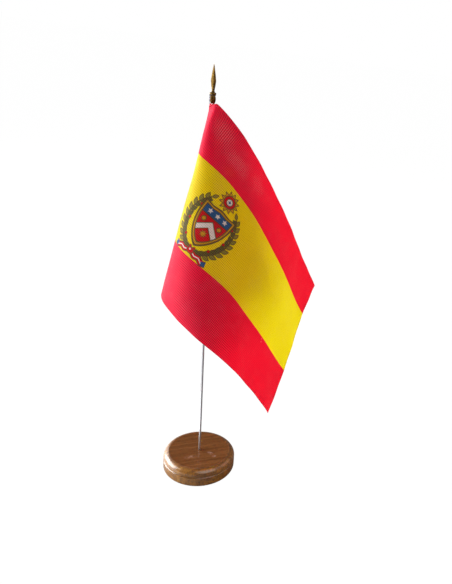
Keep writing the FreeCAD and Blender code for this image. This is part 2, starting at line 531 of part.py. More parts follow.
# ------------------------------------------------------------------ output
NODES = [wood_base, base_felt, pole, finial, flag_cloth, hoist_sleeve, seam_thread, hanging_loop]
for obj in doc.Objects:
    if "Invalid" in obj.State or "Error" in obj.State:
        raise RuntimeError("failed object: %s %s" % (obj.Name, obj.State))
for node in NODES:
    shp = node.Shape
    if shp.isNull() or not shp.isValid() or shp.Volume <= 0:
        raise RuntimeError("bad shape: %s" % node.Label)
    bb = shp.BoundBox
    print("%-14s vol %10.2f  x %.2f..%.2f  y %.2f..%.2f  z %.2f..%.2f  solids %d" % (
        node.Label, shp.Volume, bb.XMin, bb.XMax, bb.YMin, bb.YMax, bb.ZMin, bb.ZMax, len(shp.Solids)))
for node in NODES:
    node.Shape.exportStep("parts/%s.step" % node.Label)
print("written", len(NODES))
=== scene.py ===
import math
import random

import bpy
import numpy as np
from mathutils import Matrix, Vector, geometry


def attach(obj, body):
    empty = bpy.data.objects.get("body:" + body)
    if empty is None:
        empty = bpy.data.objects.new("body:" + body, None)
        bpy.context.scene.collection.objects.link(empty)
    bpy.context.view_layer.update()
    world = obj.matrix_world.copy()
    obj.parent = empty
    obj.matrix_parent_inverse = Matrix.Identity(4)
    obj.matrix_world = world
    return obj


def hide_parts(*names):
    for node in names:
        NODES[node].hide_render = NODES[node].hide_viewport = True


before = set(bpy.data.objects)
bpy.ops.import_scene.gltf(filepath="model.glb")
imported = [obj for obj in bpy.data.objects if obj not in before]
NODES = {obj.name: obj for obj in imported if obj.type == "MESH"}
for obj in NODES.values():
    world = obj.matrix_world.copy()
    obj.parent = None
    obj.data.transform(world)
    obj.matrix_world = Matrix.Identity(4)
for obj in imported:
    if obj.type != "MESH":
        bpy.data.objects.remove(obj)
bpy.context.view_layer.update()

MM = 0.001
rng = random.Random(7)
scene = bpy.context.scene

# ============================================================ camera, stage
# Camera axes (right, up, back) as columns, place in metres.
CAM_AXES = Matrix(((0.98087712, -0.06126942, -0.1847326),
                   (-0.14402712, 0.40989393, -0.90069038),
                   (0.13090555, 0.91007309, 0.39323112)))
CAM_PLACE = Vector((0.029371, -0.500998, 0.396237))
FOCAL = 620.0
CENTRE = (356.323, 307.325)
FRAME_W, FRAME_H = 452.0, 584.0

cam_data = bpy.data.cameras.new("camera")
cam = bpy.data.objects.new("camera", cam_data)
scene.collection.objects.link(cam)
cam.matrix_world = CAM_AXES.to_4x4()
cam.location = CAM_PLACE
cam_data.sensor_fit = "VERTICAL"
cam_data.sensor_height = 36.0
cam_data.sensor_width = 36.0 * FRAME_W / FRAME_H
cam_data.lens = FOCAL / FRAME_H * 36.0
cam_data.shift_x = (FRAME_W / 2 - CENTRE[0]) / FRAME_H
cam_data.shift_y = (CENTRE[1] - FRAME_H / 2) / FRAME_H
cam_data.clip_start, cam_data.clip_end = 0.01, 100.0
scene.camera = cam
scene.view_settings.view_transform = "Standard"
scene.view_settings.look = "None"


# ================================================================ node help
class Tree:
    """A short way to write a node tree."""

    def __init__(self, name):
        self.mat = bpy.data.materials.new(name)
        self.mat.use_nodes = True
        self.nt = self.mat.node_tree
        self.nt.nodes.clear()
        self.out = self.nt.nodes.new("ShaderNodeOutputMaterial")

    def put(self, socket, value):
        if isinstance(value, bpy.types.NodeSocket):
            self.nt.links.new(value, socket)
        elif value is not None:
            if hasattr(socket.default_value, "__len__") and not hasattr(value, "__len__"):
                value = [value] * len(socket.default_value)
            if hasattr(value, "__len__") and len(value) == 3 and len(socket.default_value) == 4:
                value = list(value) + [1.0]
            socket.default_value = value

    def node(self, kind, out=0, props=None, **inputs):
        n = self.nt.nodes.new(kind)
        for k, v in (props or {}).items():
            setattr(n, k, v)
        for k, v in inputs.items():
            key = int(k[1:]) if k[0] == "i" and k[1:].isdigit() else k.replace("_", " ")
            self.put(n.inputs[key], v)
        return n.outputs[out] if out is not None else n

    def math(self, op, a, b=None, c=None, clamp=False):
        return self.node("ShaderNodeMath", props={"operation": op, "use_clamp": clamp},
                         i0=a, i1=b, i2=c)

    def vmath(self, op, a, b=None, out=0):
        n = self.node("ShaderNodeVectorMath", out=None, props={"operation": op}, i0=a, i1=b)
        return n.outputs["Value" if op in ("LENGTH", "DOT_PRODUCT", "DISTANCE") else "Vector"]

    def sep(self, v):
        n = self.node("ShaderNodeSeparateXYZ", out=None, Vector=v)
        return n.outputs[0], n.outputs[1], n.outputs[2]

    def xyz(self, x, y, z):
        return self.node("ShaderNodeCombineXYZ", X=x, Y=y, Z=z)

    def coords(self, kind="Object"):
        n = self.node("ShaderNodeTexCoord", out=None)
        return n.outputs[kind]

    def noise(self, v, scale=1.0, detail=2.0, rough=0.5, dist=0.0, color=False):
        n = self.node("ShaderNodeTexNoise", out=None, Vector=v, Scale=scale, Detail=detail,
                      Roughness=rough, Distortion=dist)
        return n.outputs["Color" if color else "Fac"]

    def ramp(self, fac, stops, interp="LINEAR"):
        n = self.node("ShaderNodeValToRGB", out=None, Fac=fac)
        cr = n.color_ramp
        cr.interpolation = interp
        while len(cr.elements) < len(stops):
            cr.elements.new(0.5)
        for e, (p, c) in zip(cr.elements, stops):
            e.position = p
            e.color = (c, c, c, 1) if not hasattr(c, "__len__") else tuple(c) + (1,)
        return n.outputs["Color"]

    def span(self, x, a, b, lo=0.0, hi=1.0, smooth=True):
        return self.node("ShaderNodeMapRange",
                         props={"interpolation_type": "SMOOTHSTEP" if smooth else "LINEAR"},
                         Value=x, From_Min=a, From_Max=b, To_Min=lo, To_Max=hi)

    def mix(self, fac, a, b, blend="MIX"):
        n = self.nt.nodes.new("ShaderNodeMix")
        n.data_type = "RGBA"
        n.blend_type = blend
        n.clamp_factor = True
        self.put(n.inputs[0], fac)
        self.put(n.inputs[6], a)
        self.put(n.inputs[7], b)
        return n.outputs[2]

    def bump(self, height, strength=0.3, distance=0.0002, normal=None):
        return self.node("ShaderNodeBump", Height=height, Strength=strength,
                         Distance=distance, Normal=normal)

    def surface(self, shader):
        self.nt.links.new(shader, self.out.inputs["Surface"])
        return self.mat


def lin(*rgb):
    """sRGB 0-255 to linear."""
    return tuple((c / 255 / 12.92 if c / 255 <= 0.04045 else ((c / 255 + 0.055) / 1.055) ** 2.4)
                 for c in rgb)


# ================================================================ materials
def wood_material():
    t = Tree("lacquered_oak")
    p = t.vmath("MULTIPLY", t.coords("Object"), (1000.0, 1000.0, 1000.0))
    x, y, z = t.sep(p)
    ca, sa = math.cos(math.radians(GRAIN_AZ)), math.sin(math.radians(GRAIN_AZ))
    g = t.math("ADD", t.math("MULTIPLY", x, ca), t.math("MULTIPLY", y, sa))
    h = t.math("SUBTRACT", t.math("MULTIPLY", y, ca), t.math("MULTIPLY", x, sa))
    # slow wander of the fibres across the board
    wander = t.noise(t.xyz(t.math("MULTIPLY", g, 0.022), t.math("MULTIPLY", h, 0.05),
                           t.math("MULTIPLY", z, 0.03)), 1.0, 2.0)
    h = t.math("ADD", h, t.math("MULTIPLY", t.math("SUBTRACT", wander, 0.5), 5.0))
    bands = t.noise(t.xyz(t.math("MULTIPLY", g, 0.012), t.math("MULTIPLY", h, 0.30),
                          t.math("MULTIPLY", z, 0.05)), 1.0, 3.0, 0.55)
    streak = t.noise(t.xyz(t.math("MULTIPLY", g, 0.045), t.math("MULTIPLY", h, 1.5),
                           t.math("MULTIPLY", z, 0.28)), 1.0, 3.0, 0.6)
    fibre = t.noise(t.xyz(t.math("MULTIPLY", g, 0.11), t.math("MULTIPLY", h, 5.0),
                          t.math("MULTIPLY", z, 0.9)), 1.0, 2.0, 0.6)
    pore = t.noise(t.xyz(t.math("MULTIPLY", g, 0.22), t.math("MULTIPLY", h, 3.4),
                         t.math("MULTIPLY", z, 0.75)), 1.0, 1.0, 0.5)
    col = t.ramp(bands, [(0.30, WOOD["dark"]), (0.52, WOOD["mid"]), (0.72, WOOD["light"])])
    col = t.mix(t.span(streak, 0.42, 0.68), col,
                t.mix(1.0, col, (0.85, 0.82, 0.79), "MULTIPLY"))
    col = t.mix(t.math("MULTIPLY", t.span(fibre, 0.50, 0.72), 0.55), col,
                t.mix(1.0, col, (0.66, 0.60, 0.55), "MULTIPLY"))
    col = t.mix(t.math("MULTIPLY", t.span(fibre, 0.46, 0.28), 0.5), col,
                t.mix(1.0, col, (1.28, 1.26, 1.22), "MULTIPLY"))
    pores = t.span(pore, 0.60, 0.68)
    # the turned side is paler than the stained top and shows its open pores
    r = t.vmath("LENGTH", t.xyz(x, y, 0.0))
    side = t.span(r, 27.9, 30.6)
    blot = t.noise(t.xyz(t.math("MULTIPLY", g, 0.10), t.math("MULTIPLY", h, 0.16),
                         t.math("MULTIPLY", z, 0.12)), 1.0, 2.0)
    pale = t.ramp(t.math("ADD", t.math("MULTIPLY", bands, 0.7), t.math("MULTIPLY", blot, 0.3)),
                  [(0.32, WOOD["side_dark"]), (0.52, WOOD["side"]), (0.70, WOOD["side_light"])])
    fleck = t.noise(t.xyz(t.math("MULTIPLY", g, 0.8), t.math("MULTIPLY", h, 1.25),
                          t.math("MULTIPLY", z, 0.30)), 1.0, 2.0, 0.6)
    pale = t.mix(t.math("MULTIPLY", t.span(fleck, 0.50, 0.64), WOOD["fleck"]), pale,
                 t.mix(1.0, pale, (0.52, 0.42, 0.34), "MULTIPLY"))
    pale = t.mix(t.math("MULTIPLY", t.span(fleck, 0.42, 0.30), 0.6), pale,
                 t.mix(1.0, pale, (1.35, 1.32, 1.25), "MULTIPLY"))
    col = t.mix(side, col, pale)
    col = t.mix(t.math("MULTIPLY", pores, 0.75), col, WOOD["pore"])
    # painted shade in the groove, patchy
    wear_and_shade_noise = t.noise(t.vmath("MULTIPLY", p, (0.35, 0.35, 0.35)), 1.0, 3.0)
    cove = t.math("MULTIPLY", t.span(t.math("ABSOLUTE", t.math("SUBTRACT", z, 11.7)), 1.35, 0.75),
                  t.span(r, 31.9, 32.4))
    cove = t.math("MULTIPLY", cove, t.span(wear_and_shade_noise, 0.2, 0.6, 0.55, 1.0))
    col = t.mix(t.math("MULTIPLY", cove, WOOD["cove"]), col, WOOD["pore"])
    # the side is darker towards its bottom edge
    foot = t.math("MULTIPLY", t.span(z, 2.6, 0.9), side)
    col = t.mix(t.math("MULTIPLY", foot, WOOD["foot"]), col, WOOD["pore"])
    # rubbed rim where the flat top meets the shoulder
    rim = t.math("MULTIPLY", t.span(t.math("ABSOLUTE", t.math("SUBTRACT", r, 28.35)), 0.55, 0.1),
                 t.span(wear_and_shade_noise, 0.35, 0.65))
    col = t.mix(t.math("MULTIPLY", rim, 0.2), col, WOOD["side_light"])
    # dull, rougher marks in the lacquer, coloured lighter and pinker
    def spot(cx, cy, rx, ry, turn):
        c, s = math.cos(turn), math.sin(turn)
        dx, dy = t.math("SUBTRACT", x, cx), t.math("SUBTRACT", y, cy)
        a = t.math("DIVIDE", t.math("ADD", t.math("MULTIPLY", dx, c), t.math("MULTIPLY", dy, s)), rx)
        b = t.math("DIVIDE", t.math("SUBTRACT", t.math("MULTIPLY", dy, c), t.math("MULTIPLY", dx, s)), ry)
        d = t.vmath("LENGTH", t.xyz(a, b, 0.0))
        return t.math("MULTIPLY", t.span(d, 1.25, 0.25), t.span(z, 18.0, 18.9))
    warp = t.noise(t.vmath("MULTIPLY", p, (0.45, 0.45, 0.45)), 1.0, 3.0, 0.6)
    marks = t.math("MAXIMUM", t.math("MAXIMUM", spot(10.6, -5.4, 3.8, 2.0, -0.55),
                                     spot(14.2, -9.6, 2.2, 1.8, 0.0)),
                   t.math("MULTIPLY", spot(-7.6, -11.6, 6.0, 2.2, 0.25), 0.6))
    marks = t.math("MULTIPLY", marks, t.span(warp, 0.36, 0.62))
    col = t.mix(t.math("MULTIPLY", marks, WOOD["mark"]), col, lin(178, 142, 128))
    rough = t.math("ADD", 0.34, t.math("MULTIPLY", t.math("SUBTRACT", streak, 0.5), 0.18))
    rough = t.math("ADD", rough, t.math("MULTIPLY", marks, 0.18))
    rough = t.math("ADD", rough, t.math("MULTIPLY", pores, 0.12), clamp=True)
    hgt = t.math("SUBTRACT", t.math("MULTIPLY", streak, 0.35), t.math("MULTIPLY", pores, 0.8))
    hgt = t.math("SUBTRACT", hgt, t.math("MULTIPLY", t.math("MULTIPLY", fleck, side), 0.6))
    hgt = t.math("ADD", hgt, t.math("MULTIPLY", t.noise(t.vmath("MULTIPLY", p, (0.12, 0.12, 0.12)),
                                                        1.0, 1.0), 1.5))
    bs = t.node("ShaderNodeBsdfPrincipled", out=None, Base_Color=col, Roughness=rough,
                Normal=t.bump(hgt, 0.22, 0.00012))
    # the lacquer is rubbed matt on the flat top and full on the turned side
    t.put(bs.inputs["Coat Weight"], t.math("MULTIPLY", t.span(r, 26.5, 28.6, 0.05, 1.0),
                                         t.span(z, 3.0, 10.0, 0.8, 1.0)))
    bs.inputs["Coat Roughness"].default_value = 0.28
    bs.inputs["Coat IOR"].default_value = 1.8
    bs.inputs["Specular IOR Level"].default_value = 0.12
    return t.surface(bs.outputs[0])


def steel_material():
    t = Tree("drawn_steel")
    p = t.vmath("MULTIPLY", t.coords("Object"), (1000.0, 1000.0, 1000.0))
    draw = t.noise(t.vmath("MULTIPLY", p, (9.0, 9.0, 0.06)), 1.0, 3.0, 0.6)
    spots = t.noise(t.vmath("MULTIPLY", p, (1.6, 1.6, 0.45)), 1.0, 4.0, 0.65)
    cloud = t.noise(t.vmath("MULTIPLY", p, (0.3, 0.3, 0.035)), 1.0, 2.0)
    col = t.ramp(draw, [(0.3, STEEL[0]), (0.7, STEEL[1])])
    col = t.mix(t.math("MULTIPLY", t.span(cloud, 0.4, 0.65), 0.35), col, STEEL[2])
    col = t.mix(t.math("MULTIPLY", t.span(spots, 0.64, 0.72), 0.5), col, (0.16, 0.13, 0.11))
    rough = t.math("ADD", 0.26, t.math("MULTIPLY", draw, 0.22))
    bs = t.node("ShaderNodeBsdfPrincipled", out=None, Base_Color=col, Roughness=rough,
                Normal=t.bump(draw, 0.25, 0.00003))
    bs.inputs["Metallic"].default_value = 1.0
    return t.surface(bs.outputs[0])


def brass_material():
    t = Tree("antique_brass")
    p = t.vmath("MULTIPLY", t.coords("Object"), (1000.0, 1000.0, 1000.0))
    x, y, z = t.sep(p)
    cloud = t.noise(t.vmath("MULTIPLY", p, (0.55, 0.55, 0.28)), 1.0, 3.0, 0.6)
    grain = t.noise(t.vmath("MULTIPLY", p, (4.0, 4.0, 2.2)), 1.0, 3.0, 0.65)
    col = t.ramp(cloud, [(0.30, BRASS["dark"]), (0.50, BRASS["mid"]), (0.70, BRASS["light"])])
    col = t.mix(t.math("MULTIPLY", t.span(grain, 0.52, 0.66), 0.16), col, BRASS["stain"])
    # dark patina in the grooves above and below the collar
    def groove(at, half):
        return t.span(t.math("ABSOLUTE", t.math("SUBTRACT", z, at)), half, half * 0.3)
    rec = t.math("MAXIMUM", t.math("MAXIMUM", groove(344.1, 0.8), groove(346.6, 0.8)), groove(338.4, 0.9))
    col = t.mix(t.math("MULTIPLY", rec, 0.6), col, BRASS["stain"])
    # the bead under the waist is browner than the blade
    col = t.mix(t.span(z, 344.3, 343.4, 0.0, 0.6), col, t.mix(1.0, col, (0.52, 0.42, 0.50), "MULTIPLY"))
    # the raised ridges are rubbed bright
    geo = t.node("ShaderNodeNewGeometry", out=None)
    edge = t.span(geo.outputs["Pointiness"], 0.515, 0.58)
    col = t.mix(t.math("MULTIPLY", edge, 0.45), col, BRASS["rub"])
    rough = t.math("ADD", 0.44, t.math("MULTIPLY", cloud, 0.22))
    rough = t.math("SUBTRACT", rough, t.math("MULTIPLY", edge, 0.08))
    hgt = t.math("ADD", t.math("MULTIPLY", grain, 0.6), cloud)
    bs = t.node("ShaderNodeBsdfPrincipled", out=None, Base_Color=col, Roughness=rough,
                Normal=t.bump(hgt, 0.12, 0.00010))
    bs.inputs["Metallic"].default_value = 1.0
    return t.surface(bs.outputs[0])


def felt_material():
    t = Tree("green_felt")
    p = t.vmath("MULTIPLY", t.coords("Object"), (1000.0, 1000.0, 1000.0))
    a = t.noise(p, 2.2, 4.0, 0.7, 1.5)
    b = t.noise(p, 0.22, 2.0)
    col = t.ramp(a, [(0.3, lin(38, 58, 44)), (0.55, lin(62, 88, 66)), (0.75, lin(92, 118, 92))])
    col = t.mix(t.math("MULTIPLY", b, 0.35), col, lin(48, 64, 52))
    bs = t.node("ShaderNodeBsdfPrincipled", out=None, Base_Color=col, Roughness=0.95,
                Normal=t.bump(a, 0.7, 0.0003))
    bs.inputs["Sheen Weight"].default_value = 0.4
    bs.inputs["Sheen Roughness"].default_value = 0.5
    bs.inputs["Specular IOR Level"].default_value = 0.2
    return t.surface(bs.outputs[0])


def knit_parts(t, uv_name):
    """(u mm, v mm, knit height 0..1, gap mask 0..1) of the open warp knit."""
    uv = t.node("ShaderNodeUVMap", props={"uv_map": uv_name})
    u, v, _ = t.sep(t.vmath("MULTIPLY", uv, (UV_MM, UV_MM, 1.0)))
    p = t.xyz(u, v, 0.0)
    wob = t.noise(p, 0.09, 2.0, color=True)
    wob = t.vmath("MULTIPLY", t.vmath("SUBTRACT", wob, (0.5, 0.5, 0.5)), (1.0, 1.0, 0.0))
    pu, pv, _ = t.sep(t.vmath("ADD", p, wob))
    au = t.math("MULTIPLY", pu, math.pi / KNIT_U)
    av = t.math("MULTIPLY", pv, math.pi / KNIT_V)
    # one opening per wale and course
    s1 = t.math("COSINE", au)
    s2 = t.math("COSINE", av)
    cell = t.math("MULTIPLY", t.math("MULTIPLY", s1, s1),
                  t.math("ADD", 0.6, t.math("MULTIPLY", t.math("MULTIPLY", s2, s2), 0.4)))
    # thin legs of the loops along each wale
    legs = t.math("COSINE", t.math("MULTIPLY", pu, 2 * math.pi * 3.0 / KNIT_U))
    legs = t.math("ADD", 0.5, t.math("MULTIPLY", legs, 0.5))
    height = t.math("ADD", t.math("MULTIPLY", t.math("SUBTRACT", 1.0, cell), 0.8),
                    t.math("MULTIPLY", legs, 0.2))
    return u, v, p, height, cell


def fabric_material(name, uv_name, holes=1.0):
    t = Tree(name)
    u, v, p, height, cell = knit_parts(t, uv_name)
    att = t.node("ShaderNodeVertexColor", props={"layer_name": "print"})
    # painted light: the print is a touch more orange in the middle and more lemon, less red towards the fly
    att = t.mix(1.0, att, t.mix(t.span(u, 100.0, 175.0), (1.0, 0.985, 1.0), (0.95, 1.0, 0.9)), "MULTIPLY")
    blot = t.noise(p, 0.045, 3.0, 0.55)
    fine = t.noise(p, 0.9, 2.0, 0.6)
    warm = t.vmath("LENGTH", t.vmath("MULTIPLY", t.vmath("SUBTRACT", p, (46.2, 28.0, 0.0)),
                                     (1.0 / 9.0, 1.0 / 6.0, 0.0)))
    warm = t.math("MULTIPLY", t.span(warm, 1.1, 0.1), t.span(v, 34.4, 34.0))
    att = t.mix(t.math("MULTIPLY", warm, 0.55), att, t.mix(1.0, att, (1.0, 3.2, 0.5), "MULTIPLY"))
    col = t.mix(t.math("MULTIPLY", t.span(blot, 0.35, 0.7), 0.12), att,
                t.mix(1.0, att, (0.84, 0.72, 0.74), "MULTIPLY"))
    col = t.mix(t.math("MULTIPLY", t.span(fine, 0.4, 0.7), 0.12), col,
                t.mix(1.0, col, (0.84, 0.78, 0.80), "MULTIPLY"))
    gap = t.span(cell, 0.48, 0.94)
    # painted light: the knit openings are made less dark near the hoist and towards the fly
    dense = t.math("MULTIPLY", t.span(u, 120.0, 185.0, 1.0, 0.35), t.span(u, 15.0, 30.0, 0.3, 1.0))
    # painted shade: the openings are made darker in a soft patch low in the middle of the flag
    painted_shade_patch = t.vmath("LENGTH", t.vmath("MULTIPLY", t.vmath("SUBTRACT", p, (108.0, 118.0, 0.0)),
                                      (1.0 / 42.0, 1.0 / 26.0, 0.0)))
    dense = t.math("MULTIPLY", dense, t.span(painted_shade_patch, 1.1, 0.3, 1.0, 2.1))
    col = t.mix(t.math("MULTIPLY", t.math("MULTIPLY", gap, dense), CLOTH["gap"], clamp=True), col,
                t.mix(1.0, col, CLOTH["shade"], "MULTIPLY"))
    # painted light: whitish threads in soft blotches, for light shining through the knit
    painted_through_light = t.math("MULTIPLY", t.span(t.noise(p, 0.075, 2.0, 0.5), 0.46, 0.66), 0.5)
    for cx, cy, rx, ry, amount in THROUGH_LIGHT_PATCHES:
        d = t.vmath("LENGTH", t.vmath("MULTIPLY", t.vmath("SUBTRACT", p, (cx, cy, 0.0)),
                                      (1.0 / rx, 1.0 / ry, 0.0)))
        painted_through_light = t.math("ADD", painted_through_light, t.math("MULTIPLY", t.span(d, 1.2, 0.1), amount))
    painted_through_light = t.math("ADD", 0.15, painted_through_light)
    lit = t.math("MULTIPLY", t.math("MULTIPLY", t.span(height, 0.78, 0.98), CLOTH["thread_light"]), painted_through_light,
                 clamp=True)
    col = t.mix(lit, col, t.mix(CLOTH["pale"], col, (1.0, 0.84, 0.92)))
    # two light specks near the lower band's edge
    pale = 0.0
    for cx, cy in ((160.9, 99.0), (162.2, 101.0)):
        d = t.vmath("LENGTH", t.vmath("SUBTRACT", p, (cx, cy, 0.0)))
        pale = t.math("MAXIMUM", pale, t.span(d, 0.8, 0.3))
    col = t.mix(t.math("MULTIPLY", pale, 0.42), col, (1.0, 0.62, 0.66))
    bs = t.node("ShaderNodeBsdfPrincipled", out=None, Base_Color=col,
                Roughness=t.math("ADD", CLOTH["rough"], t.math("MULTIPLY", fine, 0.12)),
                Normal=t.bump(height, CLOTH["bump"], 0.00018))
    bs.inputs["Sheen Weight"].default_value = CLOTH["sheen"]
    bs.inputs["Sheen Roughness"].default_value = CLOTH["sheen_rough"]
    bs.inputs["Sheen Tint"].default_value = (*CLOTH["sheen_tint"], 1.0)
    bs.inputs["Specular IOR Level"].default_value = CLOTH["spec"]
    tl = t.node("ShaderNodeBsdfTranslucent", Color=t.mix(1.0, col, CLOTH["through"], "MULTIPLY"))
    m1 = t.node("ShaderNodeMixShader", Fac=CLOTH["translucent"], i1=bs.outputs[0], i2=tl)
    if holes <= 0:
        return t.surface(m1)
    clear = t.node("ShaderNodeBsdfTransparent")
    hole = t.math("MULTIPLY", t.span(cell, CLOTH["hole_from"], 1.0), CLOTH["hole"] * holes)
    m2 = t.node("ShaderNodeMixShader", Fac=hole, i1=m1, i2=clear)
    return t.surface(m2)


def thread_material(name, dark, light, rough=0.55, painted_shade_from=None):
    t = Tree(name)
    p = t.vmath("MULTIPLY", t.coords("Object"), (1000.0, 1000.0, 1000.0))
    fuzz = t.noise(t.vmath("MULTIPLY", p, (7.0, 7.0, 3.0)), 1.0, 3.0, 0.65)
    col = t.ramp(fuzz, [(0.3, dark), (0.7, light)])
    if painted_shade_from is not None:  # painted shade: the turn round the waist is coloured dark brown
        z = t.sep(p)[2]
        col = t.mix(t.math("MULTIPLY", t.span(z, painted_shade_from - 0.5, painted_shade_from + 0.3), 0.9), col,
                    t.ramp(fuzz, [(0.3, lin(44, 32, 20)), (0.7, lin(92, 72, 44))]))
    bs = t.node("ShaderNodeBsdfPrincipled", out=None, Base_Color=col, Roughness=rough,
                Normal=t.bump(fuzz, 0.4, 0.00003))
    bs.inputs["Sheen Weight"].default_value = 0.25
    return t.surface(bs.outputs[0])


# ---------------------------------------------------------------- settings
GRAIN_AZ = 17.0
UV_MM = 210.0
KNIT_U, KNIT_V = 1.22, 1.55
WOOD = {
    "dark": lin(103, 65, 34), "mid": lin(122, 78, 42), "light": lin(138, 92, 54),
    "side_dark": lin(120, 76, 20), "side": lin(152, 101, 27), "side_light": lin(188, 138, 56),
    "pore": lin(58, 34, 20), "cove": 0.38, "foot": 0.30, "fleck": 0.8, "mark": 0.85,
}
STEEL = [(0.57, 0.60, 0.66), (0.82, 0.85, 0.91), (0.66, 0.68, 0.72)]
BRASS = {"dark": (0.105, 0.058, 0.013), "mid": (0.165, 0.096, 0.020), "light": (0.225, 0.137, 0.030),
         "stain": (0.05, 0.028, 0.012), "rub": (0.36, 0.25, 0.09)}
CLOTH = {
    "gap": 0.78, "shade": (0.36, 0.26, 0.18), "thread_light": 0.55, "pale": 0.42, "rough": 0.55, "bump": 0.6,
    "sheen": 0.7, "sheen_rough": 0.32, "sheen_tint": (0.9, 0.84, 1.0), "spec": 0.15,
    "through": (1.0, 1.0, 1.0), "translucent": 0.5, "hole_from": 0.75, "hole": 0.25,
}
RED = (1.0, 0.011, 0.085)
YELLOW = (1.0, 0.88, 0.002)
# soft patches of painted light, where light shines through the knit: u, v, half width, half height, amount
THROUGH_LIGHT_PATCHES = [(62.0, 15.0, 40.0, 17.0, 1.0), (25.7, 11.7, 10.0, 8.0, 4.0), (42.4, 18.3, 12.0, 7.0, 3.0), (52.8, 17.7, 9.0, 8.0, 2.0),
         (72.9, 13.4, 11.0, 7.0, 2.0), (91.4, 97.2, 6.0, 3.0, 1.2)]
INK = {
    "line": lin(124, 106, 62), "leaf": lin(170, 160, 66), "leaf_dark": lin(122, 118, 58),
    "red": lin(232, 32, 44), "deep": lin(170, 24, 38), "white": lin(250, 250, 252),
    "blue": lin(62, 116, 178), "gold": lin(232, 184, 44), "grey": lin(170, 172, 178),
}

